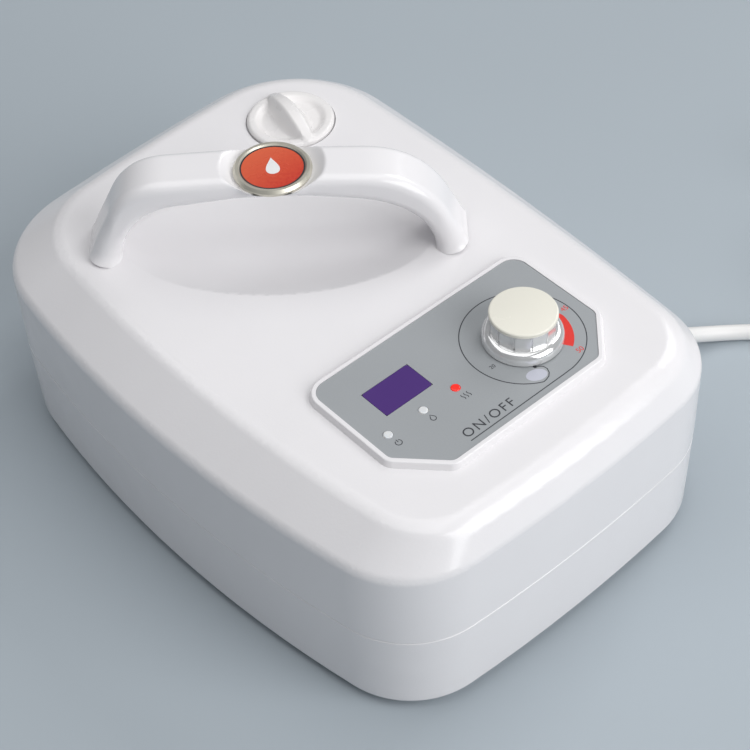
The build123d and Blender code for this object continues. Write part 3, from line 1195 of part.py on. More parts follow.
with BuildPart() as case_screws:
    with Locations(*[(x, y, CASE_HEAD_SEAT) for x, y in CASE_SCREWS]):
        add(screw(**CASE_SCREW))
case_screws.part.label = "case_screws"

# Cord gland with a ribbed strain relief, the cord's inner end and its saddle clamp
gland_line = GLAND_END - GLAND_SEAT
relief_start = FLANGE_THICK + 1.5
rib_step = (gland_line - relief_start - 3) / RELIEF_RIBS
relief = [
    (GLAND_INNER - GLAND_SEAT, 0),
    (GLAND_INNER - GLAND_SEAT, GLAND_BODY),
    (0, GLAND_BODY),
    (0, FLANGE_RADIUS),
    (FLANGE_THICK - 0.8, FLANGE_RADIUS),
    (FLANGE_THICK, FLANGE_RADIUS - 0.8),
    (FLANGE_THICK, RELIEF_WIDE),
]
for i in range(RELIEF_RIBS):
    start = relief_start + i * rib_step
    wide = RELIEF_WIDE + (RELIEF_NARROW - RELIEF_WIDE) * (start - FLANGE_THICK) / (gland_line - FLANGE_THICK)
    relief += [(start, wide), (start, wide - 1), (start + 1.2, wide - 1), (start + 1.2, wide - 0.1)]
relief += [(gland_line, RELIEF_NARROW), (gland_line, 0)]
with BuildPart() as cord_gland:
    add(turned(relief, (GLAND_SEAT, GLAND_Y, GLAND_Z), (1, 0, 0)))
cord_gland.part.label = "cord_gland"

with BuildPart() as cord_tail:
    with BuildSketch(facing((TERMINAL_X1, GLAND_Y, GLAND_Z), (1, 0, 0))):
        Circle(CORD_RADIUS)
    extrude(amount=GLAND_INNER - TERMINAL_X1)
cord_tail.part.label = "cord_tail"

with BuildPart() as cord_clamp:
    with BuildSketch(facing((TERMINAL_X1 + 10, GLAND_Y, (FLOOR + GLAND_Z + 6) / 2), (1, 0, 0))):
        Rectangle(GLAND_Z + 6 - FLOOR, 22)
    extrude(amount=8)
    fillet(cord_clamp.edges().filter_by(Axis.X).group_by(Axis.Z)[-1], 4)
    with BuildSketch(facing((TERMINAL_X1, GLAND_Y, GLAND_Z), (1, 0, 0))):
        Circle(CORD_RADIUS + 0.02)
    extrude(amount=30, mode=Mode.SUBTRACT)
cord_clamp.part.label = "cord_clamp"

# Mains cord: free stretch from the gland to the put-away coil
heading = radians(COIL_HEADING)
forward = Vector(cos(heading), sin(heading), 0)
leftward = Vector(-sin(heading), cos(heading), 0)
coil_start = Vector(*CORD_ROUTE[-1]) + forward * LAST_RUN
route = CORD_ROUTE + [(coil_start.X, coil_start.Y, coil_start.Z)]
cord_radii = arc_radii(route)
print("cord radii", [round(r, 1) for r in cord_radii])
power_cord_solid = tube(route, cord_radii, CORD_RADIUS, 0)
with BuildLine() as cord_line:
    FilletPolyline(*route, radius=cord_radii)
free_length = cord_line.wire().length
free_volume = pi * CORD_RADIUS**2 * free_length
cord_share = power_cord_solid.volume / free_volume
print("free cord length", round(free_length, 1), "volume ratio", round(cord_share, 5))
with BuildPart() as power_cord:
    add(power_cord_solid)
power_cord.part.label = "power_cord"

# Put-away coil: turns spiral in on the table, climb at the inner half turn and spiral out above
coil_outer = COIL_INNER + COIL_TURNS * COIL_PITCH
coil_entry = coil_start + forward * COIL_LEAD
coil_centre = coil_entry + leftward * coil_outer
outward = leftward * -1
lift = Vector(0, 0, COIL_LAYER)


def coil_knot(index):
    """Place and radius on the coil after a number of half turns."""
    half_turns = 2 * COIL_TURNS
    if index <= half_turns:
        radius = coil_outer - index * COIL_PITCH / 2
        height = Vector(0, 0, 0)
    else:
        radius = COIL_INNER + (index - half_turns - 1) * COIL_PITCH / 2
        height = lift
    side = 1 if index % 2 == 0 else -1
    return coil_centre + outward * (side * radius) + height


with BuildLine() as coil_line:
    Line(coil_start, coil_entry)
    for i in range(4 * COIL_TURNS + 1):
        first = coil_knot(i)
        last = coil_knot(i + 1)
        way = forward if i % 2 == 0 else forward * -1
        half = (last - first).length / 2
        if i == 2 * COIL_TURNS:
            rise = (last - first) * 0.5
            top = first + rise + way * half
            lean = sqrt(0.5)
            ThreePointArc(first, first + way * (half * lean) + rise * (1 - lean), top)
            ThreePointArc(top, last + way * (half * lean) - rise * (1 - lean), last)
        else:
            ThreePointArc(first, (first + last) * 0.5 + way * half, last)
    coil_end = coil_knot(4 * COIL_TURNS + 1)
    Line(coil_end, coil_end - forward * COIL_TAIL)
coil_path = coil_line.wire()
coil_length = coil_path.length
samples = 900
spots = [coil_path.position_at(i / samples) for i in range(samples + 1)]
step = coil_length / samples
skip = int(4 * CORD_RADIUS / step) + 1
least = min(
    (spots[i] - spots[j]).length for i in range(samples + 1) for j in range(i + skip, samples + 1)
)
print("coil length", round(coil_length, 1), "least gap", round(least - 2 * CORD_RADIUS, 2))
print("cord length in all", round(coil_length + free_length + GLAND_END - GLAND_SEAT, 1))

with BuildPart() as cord_coil:
    with BuildSketch(Plane(origin=coil_start, z_dir=forward)):
        Circle(CORD_RADIUS)
    sweep(path=coil_path)
print("coil volume ratio", round(cord_coil.part.volume / (pi * CORD_RADIUS**2 * coil_length), 5))
cord_coil.part.label = "cord_coil"

# Strap round the bundle, a quarter turn before the cord's entry
tie_side = forward * -1
tie_in = COIL_INNER + COIL_PITCH / 4 - CORD_RADIUS - TIE_GAP - TIE_SLACK
tie_out = coil_outer - 3 * COIL_PITCH / 4 + CORD_RADIUS + TIE_GAP
tie_low = TIE_THICK
tie_high = COIL_LIFT + COIL_LAYER + CORD_RADIUS + TIE_GAP
with BuildPart() as coil_tie:
    tie_plane = Plane(
        origin=(coil_centre.X, coil_centre.Y, (tie_low + tie_high) / 2),
        x_dir=tie_side,
        z_dir=tie_side.cross(Vector(0, 0, 1)),
    )
    with BuildSketch(tie_plane):
        with Locations(((tie_in + tie_out) / 2, 0)):
            RectangleRounded(
                tie_out - tie_in + 2 * TIE_THICK, tie_high - tie_low + 2 * TIE_THICK, CORD_RADIUS + TIE_THICK
            )
            RectangleRounded(tie_out - tie_in, tie_high - tie_low, CORD_RADIUS, mode=Mode.SUBTRACT)
    extrude(amount=TIE_WIDTH / 2, both=True)
coil_tie.part.label = "coil_tie"

# Plug at the cord's end: tapered sleeve, rounded body, three flat pins
plug_start = coil_end - forward * COIL_TAIL
plug_way = forward * -1
plug_height = 2 * plug_start.Z
plug_plan = Plane(origin=(plug_start.X, plug_start.Y, 0), x_dir=plug_way, z_dir=(0, 0, 1))
with BuildPart() as plug_body:
    with BuildSketch(plug_plan):
        with BuildLine():
            Polyline(
                (SLEEVE_LENGTH - 2, -8),
                (SLEEVE_LENGTH + 10, -PLUG_WIDTH / 2),
                (PLUG_LENGTH, -PLUG_WIDTH / 2),
                (PLUG_LENGTH, PLUG_WIDTH / 2),
                (SLEEVE_LENGTH + 10, PLUG_WIDTH / 2),
                (SLEEVE_LENGTH - 2, 8),
                close=True,
            )
        make_face()
    extrude(amount=plug_height)
    fillet(plug_body.edges().filter_by(Axis.Z), 4)
    fillet(plug_body.faces().sort_by(Axis.Z)[-1].edges(), 2.5)
    fillet(plug_body.faces().sort_by(Axis.Z)[0].edges(), 1.5)
    add(
        turned(
            [(0, 0), (0, CORD_RADIUS + 1), (SLEEVE_LENGTH, CORD_RADIUS + 3), (SLEEVE_LENGTH, 0)],
            plug_start,
            plug_way,
        )
    )
plug_body.part.label = "plug_body"

pin_face = plug_start + plug_way * PLUG_LENGTH
with BuildPart() as plug_pins:
    with BuildSketch(Plane(origin=pin_face, x_dir=leftward, z_dir=plug_way)):
        with Locations(Location((-7, 4, 0), 30), Location((7, 4, 0), -30), Location((0, -6, 0), 90)):
            Rectangle(PIN_WIDTH, PIN_THICK)
    extrude(amount=PIN_LENGTH)
    fillet(plug_pins.faces().sort_by(Axis((0, 0, 0), plug_way))[-3:].edges(), 0.3)
plug_pins.part.label = "plug_pins"

PIECES = [
    lower_shell.part,
    upper_shell.part,
    carry_handle.part,
    handle_screws.part,
    badge_ring.part,
    badge_disc.part,
    panel_overlay.part,
    display_window.part,
    display_module.part,
    *lamp_parts.values(),
    rotary_control.part,
    control_nut.part,
    dial_knob.part,
    knob_cap.part,
    dial_shaft.part,
    control_board.part,
    board_screws.part,
    power_board.part,
    transformer.part,
    terminal_block.part,
    tank_base.part,
    tank_lid.part,
    float_guide.part,
    level_float.part,
    fill_cap.part,
    cap_seal.part,
    pump_body.part,
    pump_cover.part,
    pump_shaft.part,
    pump_impeller.part,
    heater_block.part,
    thermal_cutout.part,
    cutout_strap.part,
    *hose_parts.values(),
    hose_clamps.part,
    *nozzle_parts.values(),
    nozzle_washers.part,
    nozzle_nuts.part,
    rubber_feet.part,
    case_screws.part,
    cord_gland.part,
    cord_tail.part,
    cord_clamp.part,
    power_cord.part,
    cord_coil.part,
    coil_tie.part,
    plug_body.part,
    plug_pins.part,
]
for piece in PIECES:
    export_step(piece, "parts/" + piece.label + ".step")

# The housing without its cord stands centred over the origin
low = min(piece.bounding_box().min.Z for piece in PIECES)
front = min(piece.bounding_box().min.Y for piece in PIECES[:2])
back = max(piece.bounding_box().max.Y for piece in nozzle_parts.values())
left = upper_shell.part.bounding_box().min.X
right = upper_shell.part.bounding_box().max.X
print("pieces", len(PIECES), "lowest", round(low, 3))
print("front", round(front, 3), "back", round(back, 3), "left", round(left, 3), "right", round(right, 3))
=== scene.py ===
"""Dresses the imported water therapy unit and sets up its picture.

The unit is a white two-part housing with an arched carry handle, a round badge, a screw-in fill
cap, a grey dial panel, two hose nozzles at the back and a coiled mains lead. Each class based on
Assembly is one sub-assembly. Sizes are in millimetres in the fields and become metres in the
meshes.
"""

import logging
import math
from collections.abc import Iterator
from contextlib import contextmanager
from dataclasses import dataclass
from enum import Enum

import bmesh
import bpy
from mathutils import Matrix, Vector


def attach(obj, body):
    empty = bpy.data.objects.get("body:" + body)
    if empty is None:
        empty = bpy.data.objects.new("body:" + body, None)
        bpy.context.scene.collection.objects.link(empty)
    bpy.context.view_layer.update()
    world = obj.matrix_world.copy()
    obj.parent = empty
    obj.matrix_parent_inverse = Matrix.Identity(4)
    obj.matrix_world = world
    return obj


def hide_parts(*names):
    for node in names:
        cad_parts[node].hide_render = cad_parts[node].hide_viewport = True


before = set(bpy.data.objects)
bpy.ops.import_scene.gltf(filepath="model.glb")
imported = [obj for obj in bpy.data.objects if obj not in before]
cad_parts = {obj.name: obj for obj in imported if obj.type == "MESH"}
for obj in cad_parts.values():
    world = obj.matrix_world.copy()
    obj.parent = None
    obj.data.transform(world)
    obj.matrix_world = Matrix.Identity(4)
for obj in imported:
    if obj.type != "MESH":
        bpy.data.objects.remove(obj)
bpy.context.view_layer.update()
MM = 0.001
LOG = logging.getLogger("therapy_unit")

# Points closer than this, in metres, are joined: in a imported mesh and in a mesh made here
WELD_DISTANCE = 1e-6
JOIN_DISTANCE = 2e-6
# Edges sharper than this angle in degrees stay sharp on a smooth copy
CREASE = 32.0

# Waves to the metre and finer layers of the noises on moulded plastic, metal, film and floor
MOULDED_CLOUD, MOULDED_GLOSS, MOULDED_WAVES = (14.0, 4.0), (55.0, 5.0), (38.0, 1.0)
METAL_SPOTS, METAL_GLOSS = (120.0, 5.0), (160.0, 4.0)
FILM_PATCHES, BADGE_FLECKS, BADGE_GLOSS = (22.0, 3.0), (700.0, 3.0), (90.0, 3.0)
FLOOR_CLOUD = (3.0, 3.0)
# Metres that red, green and blue light travel inside milky plastic
SCATTER_REACH = (0.004, 0.0035, 0.003)

Point = tuple[float, float]
Place = tuple[float, float, float]
Colour = tuple[float, float, float]
Face = tuple[int, ...]
Mesh = bpy.types.Mesh
Piece = bpy.types.Object
Socket = bpy.types.NodeSocket
# Outer point, inner point and share of the flare of one section of the handle
Station = tuple[Vector, Vector, float]


class Body(Enum):
    """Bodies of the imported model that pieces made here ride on."""

    HOUSING = "housing"
    DIAL = "dial"
    FILL_CAP = "fill_cap"


def shade(colour: Colour, factor: float) -> Colour:
    """Returns the colour made lighter or darker by the factor."""
    return tuple(min(1.0, part * factor) for part in colour)


class NodeBench:
    """Work bench for one material's node tree."""

    def __init__(self, name: str) -> None:
        """Starts a material with its surface shader.

        Args:
            name: Name of the material.
        """
        self.material = bpy.data.materials.new(name)
        self.material.use_nodes = True
        self.tree = self.material.node_tree
        self.shader = self.tree.nodes["Principled BSDF"]
        self.place = self.tree.nodes.new("ShaderNodeTexCoord").outputs["Object"]

    def set(self, **values: object) -> None:
        """Sets sockets of the shader, spaces in their names written as underscores."""
        for name, value in values.items():
            self.shader.inputs[name.replace("_", " ")].default_value = value

    def link(self, source: Socket, target: Socket) -> None:
        """Links one socket to another."""
        self.tree.links.new(source, target)

    def feed(self, name: str, source: Socket) -> None:
        """Links a socket to the shader's input of that name."""
        self.link(source, self.shader.inputs[name])

    def noise(self, scale: float, detail: float = 3.0, stretch: Place = (1.0, 1.0, 1.0)) -> Socket:
        """Adds noise over the object's own coordinates.

        Args:
            scale: Waves to the metre.
            detail: Number of finer layers.
            stretch: Factor on each axis.

        Returns:
            The noise value, about 0.5 on average.
        """
        mapping = self.tree.nodes.new("ShaderNodeMapping")
        mapping.inputs["Scale"].default_value = stretch
        self.link(self.place, mapping.inputs["Vector"])
        noise = self.tree.nodes.new("ShaderNodeTexNoise")
        noise.inputs["Scale"].default_value = scale
        noise.inputs["Detail"].default_value = detail
        self.link(mapping.outputs["Vector"], noise.inputs["Vector"])
        return noise.outputs["Fac"]

    def spread(
        self, value: Socket, low: float, high: float, start: float = 0.3, end: float = 0.7
    ) -> Socket:
        """Maps a value between two limits.

        Args:
            value: What is mapped.
            low: Result at the start.
            high: Result at the end.
            start: Value that gives low.
            end: Value that gives high.

        Returns:
            The mapped value.
        """
        mapped = self.tree.nodes.new("ShaderNodeMapRange")
        limits = {"From Min": start, "From Max": end, "To Min": low, "To Max": high}
        for name, number in limits.items():
            mapped.inputs[name].default_value = number
        self.link(value, mapped.inputs["Value"])
        return mapped.outputs["Result"]

    def blend(self, factor: Socket, first: Colour | Socket, second: Colour) -> Socket:
        """Blends two colours.

        Args:
            factor: 0 gives the first, 1 the second.
            first: A colour, or the result of another blend.
            second: The other colour.

        Returns:
            The blended colour.
        """
        mix = self.tree.nodes.new("ShaderNodeMix")
        mix.data_type = "RGBA"
        self.link(factor, mix.inputs[0])
        if isinstance(first, tuple):
            mix.inputs[6].default_value = (*first, 1.0)
        else:
            self.link(first, mix.inputs[6])
        mix.inputs[7].default_value = (*second, 1.0)
        return mix.outputs[2]

    def clouded(self, noise: Socket, colour: Colour, darker: float, lighter: float) -> Socket:
        """Blends a darker and a lighter shade of a colour by a noise."""
        cloud = self.spread(noise, 0.0, 1.0)
        return self.blend(cloud, shade(colour, darker), shade(colour, lighter))

    def gloss(self, noise: Socket, roughness: float, uneven: float) -> None:
        """Lets a noise vary the roughness by the uneven share to either side."""
        self.feed("Roughness", self.spread(noise, roughness - uneven, roughness + uneven))

    def bump(
        self, height: Socket, depth: float, strength: float, under: Socket | None = None
    ) -> Socket:
        """Turns a value into relief.

        Args:
            height: Value read as height.
            depth: Height of the relief in metres.
            strength: Share of the relief that shows.
            under: Relief that this one lies on.

        Returns:
            The bent normal.
        """
        relief = self.tree.nodes.new("ShaderNodeBump")
        relief.inputs["Strength"].default_value = strength
        relief.inputs["Distance"].default_value = depth
        self.link(height, relief.inputs["Height"])
        if under is not None:
            self.link(under, relief.inputs["Normal"])
        return relief.outputs["Normal"]


@dataclass(frozen=True)
class MouldedFinish:
    """Moulded plastic or rubber: faint clouding, uneven gloss, fine skin and shallow sink marks."""

    name: str
    colour: Colour
    roughness: float = 0.3
    uneven: float = 0.05
    clouding: float = 0.03
    skin_scale: float = 900.0
    skin_depth: float = 0.00008
    wave_depth: float = 0.0002
    coat: float = 0.0
    scatter: float = 0.0
    glow: float = 0.0

    def build(self) -> bpy.types.Material:
        """Returns the finished material."""
        bench = NodeBench(self.name)
        cloud = bench.noise(*MOULDED_CLOUD)
        bench.feed(
            "Base Color", bench.clouded(cloud, self.colour, 1 - self.clouding, 1 + self.clouding)
        )
        bench.gloss(bench.noise(*MOULDED_GLOSS), self.roughness, self.uneven)
        waves = bench.bump(bench.noise(*MOULDED_WAVES), self.wave_depth, 0.25)
        skin = bench.noise(self.skin_scale, 2.0)
        bench.feed("Normal", bench.bump(skin, self.skin_depth, 0.3, waves))
        bench.set(Coat_Weight=self.coat, Coat_Roughness=0.08)
        if self.scatter:
            bench.set(Subsurface_Weight=self.scatter, Subsurface_Scale=1.0)
            bench.set(Subsurface_Radius=SCATTER_REACH)
        if self.glow:
            bench.set(Emission_Color=(*self.colour, 1.0), Emission_Strength=self.glow)
        return bench.material


@dataclass(frozen=True)
class MetalFinish:
    """Bare or plated metal with fine lines along one axis and dull spots."""

    name: str
    colour: Colour
    roughness: float = 0.2
    uneven: float = 0.06
    lines: Place = (1.0, 1.0, 1.0)
    line_scale: float = 900.0
    line_depth: float = 0.00003
    metallic: float = 1.0

    def build(self) -> bpy.types.Material:
        """Returns the finished material."""
        bench = NodeBench(self.name)
        bench.set(Metallic=self.metallic)
        spots = bench.noise(*METAL_SPOTS)
        bench.feed("Base Color", bench.clouded(spots, self.colour, 0.93, 1.04))
        bench.gloss(bench.noise(*METAL_GLOSS), self.roughness, self.uneven)
        grain = bench.noise(self.line_scale, 3.0, self.lines)
        bench.feed("Normal", bench.bump(grain, self.line_depth, 0.35))
        return bench.material


@dataclass(frozen=True)
class PrintedFilm:
    """Satin printed film with a fine sandy grain, or an ink line on it."""

    name: str
    colour: Colour
    roughness: float = 0.42
    grain_scale: float = 2600.0

    def build(self) -> bpy.types.Material:
        """Returns the finished material."""
        bench = NodeBench(self.name)
        grain = bench.noise(self.grain_scale, 2.0)
        tone = bench.clouded(bench.noise(*FILM_PATCHES), self.colour, 0.975, 1.025)
        sand = bench.spread(grain, 0.0, 0.5)
        bench.feed("Base Color", bench.blend(sand, tone, shade(self.colour, 1.12)))
        bench.feed("Roughness", bench.spread(grain, self.roughness - 0.05, self.roughness + 0.06))
        bench.feed("Normal", bench.bump(grain, 0.00003, 0.4))
        return bench.material


@dataclass(frozen=True)
class BadgeFace:
    """Domed face whose colour runs from deep to bright across the disc, under clear resin."""

    name: str
    deep: Colour
    bright: Colour
    middle: Place
    scale: float = 34.0

    def build(self) -> bpy.types.Material:
        """Returns the finished material."""
        bench = NodeBench(self.name)
        mapping = bench.tree.nodes.new("ShaderNodeMapping")
        shift = tuple(-part * MM * self.scale + 0.5 for part in self.middle)
        mapping.inputs["Location"].default_value = shift
        mapping.inputs["Scale"].default_value = (self.scale,) * 3
        bench.link(bench.place, mapping.inputs["Vector"])
        parts = bench.tree.nodes.new("ShaderNodeSeparateXYZ")
        bench.link(mapping.outputs["Vector"], parts.inputs["Vector"])
        run = bench.spread(parts.outputs["Y"], 0.0, 1.0, 0.1, 0.9)
        fleck = bench.spread(bench.noise(*BADGE_FLECKS), 0.0, 0.25)
        tone = bench.blend(run, self.deep, self.bright)
        bench.feed("Base Color", bench.blend(fleck, tone, shade(self.bright, 1.1)))
        bench.feed("Roughness", bench.spread(bench.noise(*BADGE_GLOSS), 0.2, 0.32))
        bench.set(Coat_Weight=1.0, Coat_Roughness=0.05)
        return bench.material


class Finishes:
    """Every finish of the unit, each built once and known by its name."""

    def __init__(self) -> None:
        """Builds all materials."""
        moulded, metal, film = MouldedFinish, MetalFinish, PrintedFilm
        brushed = {"line_scale": 1400.0, "lines": (0.2, 1.0, 1.0)}
        plated = {"line_scale": 500.0, "line_depth": 0.00002}
        glazed = {"skin_scale": 2000.0, "skin_depth": 0.00001, "wave_depth": 0.00004, "coat": 0.4}
        recipes = [
            moulded("shell_white", (0.84, 0.825, 0.84), 0.2, 0.05, 0.012),
            moulded("handle_white", (0.86, 0.845, 0.86), 0.17, 0.04, 0.01),
            moulded("cap_white", (0.84, 0.82, 0.815), 0.27, 0.05, 0.02, 900.0, 0.00004, 0.0001),
            metal("screw_steel", (0.62, 0.62, 0.63), 0.32),
            metal("badge_ring", (0.66, 0.635, 0.55), 0.4, metallic=0.7, **brushed),
            BadgeFace("badge_face", (0.55, 0.03, 0.015), (0.78, 0.13, 0.05), (-2.3, 25.2, 0.0)),
            film("panel_grey", (0.335, 0.352, 0.367)),
            moulded("display_violet", (0.075, 0.03, 0.19), 0.2, 0.03, 0.03, **glazed),
            moulded("module_black", (0.03, 0.03, 0.034), 0.45),
            moulded("lamp_white", (0.78, 0.79, 0.8), 0.22, 0.04, 0.02, scatter=0.4),
            moulded("lamp_red", (0.85, 0.025, 0.015), 0.2, 0.04, 0.02, coat=0.5, glow=0.35),
            metal("knob_chrome", (0.95, 0.95, 0.95), 0.13, 0.03, metallic=0.66, **plated),
            moulded("knob_cream", (0.84, 0.82, 0.73), 0.24, 0.06, 0.03, 700.0, 0.00006),
            film("board_green", (0.03, 0.19, 0.07), 0.38, 900.0),
            metal("transformer_iron", (0.16, 0.16, 0.17), 0.5),
            moulded("tank_milky", (0.78, 0.8, 0.8), 0.4, 0.06, 0.03, scatter=0.3),
            moulded("float_foam", (0.84, 0.45, 0.08), 0.6, 0.08, 0.08, 1500.0, 0.0003),
            moulded("seal_rubber", (0.04, 0.04, 0.042), 0.6, 0.08, 0.1),
            moulded("pump_black", (0.035, 0.035, 0.04), 0.5, 0.08, 0.1),
            metal("heater_metal", (0.77, 0.77, 0.78), 0.4, 0.1, line_scale=1500.0),
            moulded("hose_silicone", (0.74, 0.75, 0.74), 0.42, 0.06, 0.03, scatter=0.3),
            moulded("nozzle_plastic", (0.62, 0.63, 0.64), 0.36, 0.05, 0.03),
            moulded("feet_rubber", (0.045, 0.045, 0.048), 0.68, 0.08, 0.12, 1600.0, 0.0002),
            moulded("cord_white", (0.8, 0.79, 0.78), 0.4, 0.05, 0.03, 1800.0, 0.00008),
            moulded("tie_white", (0.72, 0.72, 0.72), 0.5, 0.06, 0.04),
            moulded("plug_white", (0.8, 0.79, 0.78), 0.32, 0.05, 0.02),
            metal("pin_brass", (0.78, 0.62, 0.34), 0.24),
            film("ink_dark", (0.035, 0.037, 0.045), 0.5),
            film("ink_red", (0.72, 0.035, 0.025), 0.45),
            film("ink_pale", (0.5, 0.51, 0.585), 0.45),
            film("ink_white", (0.8, 0.8, 0.81), 0.45),
        ]
        self.made = {recipe.name: recipe.build() for recipe in recipes}

    def __getitem__(self, name: str) -> bpy.types.Material:
        """Returns the material of that name."""
        return self.made[name]


def linked(name: str, data: bpy.types.ID) -> Piece:
    """Makes an object and links it to the scene.

    Args:
        name: Its name.
        data: Its mesh, curve, lamp or camera.

    Returns:
        The new object.
    """
    made = bpy.data.objects.new(name, data)
    bpy.context.scene.collection.objects.link(made)
    return made


def baked(holder: Piece) -> Mesh:
    """Turns an object and its modifiers into a plain mesh and takes the object away.

    Args:
        holder: The object.

    Returns:
        The plain mesh.
    """
    bpy.context.view_layer.update()
    evaluated = holder.evaluated_get(bpy.context.evaluated_depsgraph_get())
    mesh = bpy.data.meshes.new_from_object(evaluated)
    bpy.data.objects.remove(holder)
    return mesh


@contextmanager
def mesh_bench(mesh: Mesh) -> Iterator[bmesh.types.BMesh]:
    """Opens a mesh for changes and writes them back at the end.

    Args:
        mesh: The mesh.

    Yields:
        The bench on which it is changed.
    """
    bench = bmesh.new()
    bench.from_mesh(mesh)
    yield bench
    bench.to_mesh(mesh)
    bench.free()


def shaded(mesh: Mesh, crease: float) -> Mesh:
    """Shades a mesh smoothly.

    Args:
        mesh: The mesh.
        crease: Angle in degrees above which an edge stays sharp.

    Returns:
        The same mesh.
    """
    mesh.shade_smooth()
    mesh.set_sharp_from_angle(angle=math.radians(crease))
    return mesh


def solid_mesh(vertices: list[Place], faces: list[Face]) -> Mesh:
    """Makes a mesh from millimetre corners and turns its faces outwards.

    Args:
        vertices: Corners in millimetres.
        faces: Corner numbers of each face.

    Returns:
        The mesh in metres.
    """
    mesh = bpy.data.meshes.new("solid")
    mesh.from_pydata([tuple(part * MM for part in corner) for corner in vertices], [], faces)
    with mesh_bench(mesh) as bench:
        bmesh.ops.recalc_face_normals(bench, faces=bench.faces)
    return mesh


def quads(count: int, first: int, second: int) -> list[Face]:
    """Joins two closed rings of corners by faces.

    Args:
        count: Number of corners in each ring.
        first: Number of the first ring's first corner.
        second: Number of the second ring's first corner.

    Returns:
        The faces.
    """
    pairs = [(k, (k + 1) % count) for k in range(count)]
    return [(first + a, first + b, second + b, second + a) for a, b in pairs]


def plate(outline: list[Point], levels: Point) -> Mesh:
    """Makes a flat closed plate from its outline.

    Args:
        outline: Corners in order.
        levels: Heights of the underside and the top.

    Returns:
        The plate's mesh.
    """
    count = len(outline)
    vertices = [(x, y, z) for z in levels for x, y in outline]
    faces = [tuple(range(count)), tuple(range(count, 2 * count)), *quads(count, 0, count)]
    return solid_mesh(vertices, faces)


def printed_line(line: list[Point] | tuple[Point, ...], width: float, levels: Point) -> Mesh:
    """Makes a thin closed band that follows a line.

    Args:
        line: Points that the middle of the band runs through.
        width: Width of the band.
        levels: Heights of its underside and its top.

    Returns:
        The band's mesh.
    """
    left: list[Point] = []
    right: list[Point] = []
    for i, point in enumerate(line):
        before = Vector(line[max(i - 1, 0)])
        after = Vector(line[min(i + 1, len(line) - 1)])
        way = (after - before).normalized()
        side = Vector((-way.y, way.x)) * (width / 2)
        left.append(tuple(Vector(point) + side))
        right.append(tuple(Vector(point) - side))
    return plate(left + right[::-1], levels)


def turned(middle: Point, angle: float, along: float, across: float) -> Point:
    """Works out the point that lies along and across a direction.

    Args:
        middle: Where the direction starts.
        angle: Its angle in radians.
        along: Distance along it.
        across: Distance to its left.

    Returns:
        The point.
    """
    return (
        middle[0] + along * math.cos(angle) - across * math.sin(angle),
        middle[1] + along * math.sin(angle) + across * math.cos(angle),
    )


def around(middle: Point, radius: float, degrees: float) -> Point:
    """Returns the point on a circle at an angle in degrees."""
    angle = math.radians(degrees)
    return middle[0] + radius * math.cos(angle), middle[1] + radius * math.sin(angle)


def arc(middle: Point, radius: float, start: float, end: float, steps: int) -> list[Point]:
    """Returns points on an arc between two angles in degrees."""
    return [around(middle, radius, start + (end - start) * i / steps) for i in range(steps + 1)]


def lettering(
    words: str, height: float, middle: Point, levels: Point, spacing: float = 1.0
) -> Mesh:
    """Makes flat plain lettering.

    Args:
        words: What it says.
        height: Size of the type.
        middle: Where its middle lies.
        levels: Heights of its underside and its top.
        spacing: Space between the letters as a share of the normal one.

    Returns:
        The lettering's mesh.
    """
    low, high = levels
    type_curve = bpy.data.curves.new("lettering", "FONT")
    type_curve.body = words
    type_curve.size = height * MM
    type_curve.space_character = spacing
    type_curve.align_x = "CENTER"
    type_curve.align_y = "CENTER"
    type_curve.extrude = (high - low) / 2 * MM
    mesh = baked(linked("lettering", type_curve))
    mesh.transform(Matrix.Translation(Vector((*middle, (low + high) / 2)) * MM))
    return mesh


def smooth_copy(node: str, crease: float) -> Mesh:
    """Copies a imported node's mesh, merges its loose triangles and shades it smoothly.

    Args:
        node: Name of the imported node.
        crease: Angle in degrees above which an edge stays sharp.

    Returns:
        The merged and shaded mesh.
    """
    bench = bmesh.new()
    bench.from_mesh(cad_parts[node].data)
    bmesh.ops.remove_doubles(bench, verts=bench.verts, dist=WELD_DISTANCE)
    vertices = [tuple(vertex.co) for vertex in bench.verts]
    bench.verts.index_update()
    faces = [tuple(vertex.index for vertex in face.verts) for face in bench.faces]
    bench.free()
    mesh = bpy.data.meshes.new(node)
    mesh.from_pydata(vertices, [], faces)
    holder = linked("holder", shaded(mesh, crease))
    holder.modifiers.new("weighted", "WEIGHTED_NORMAL").keep_sharp = True
    return baked(holder)


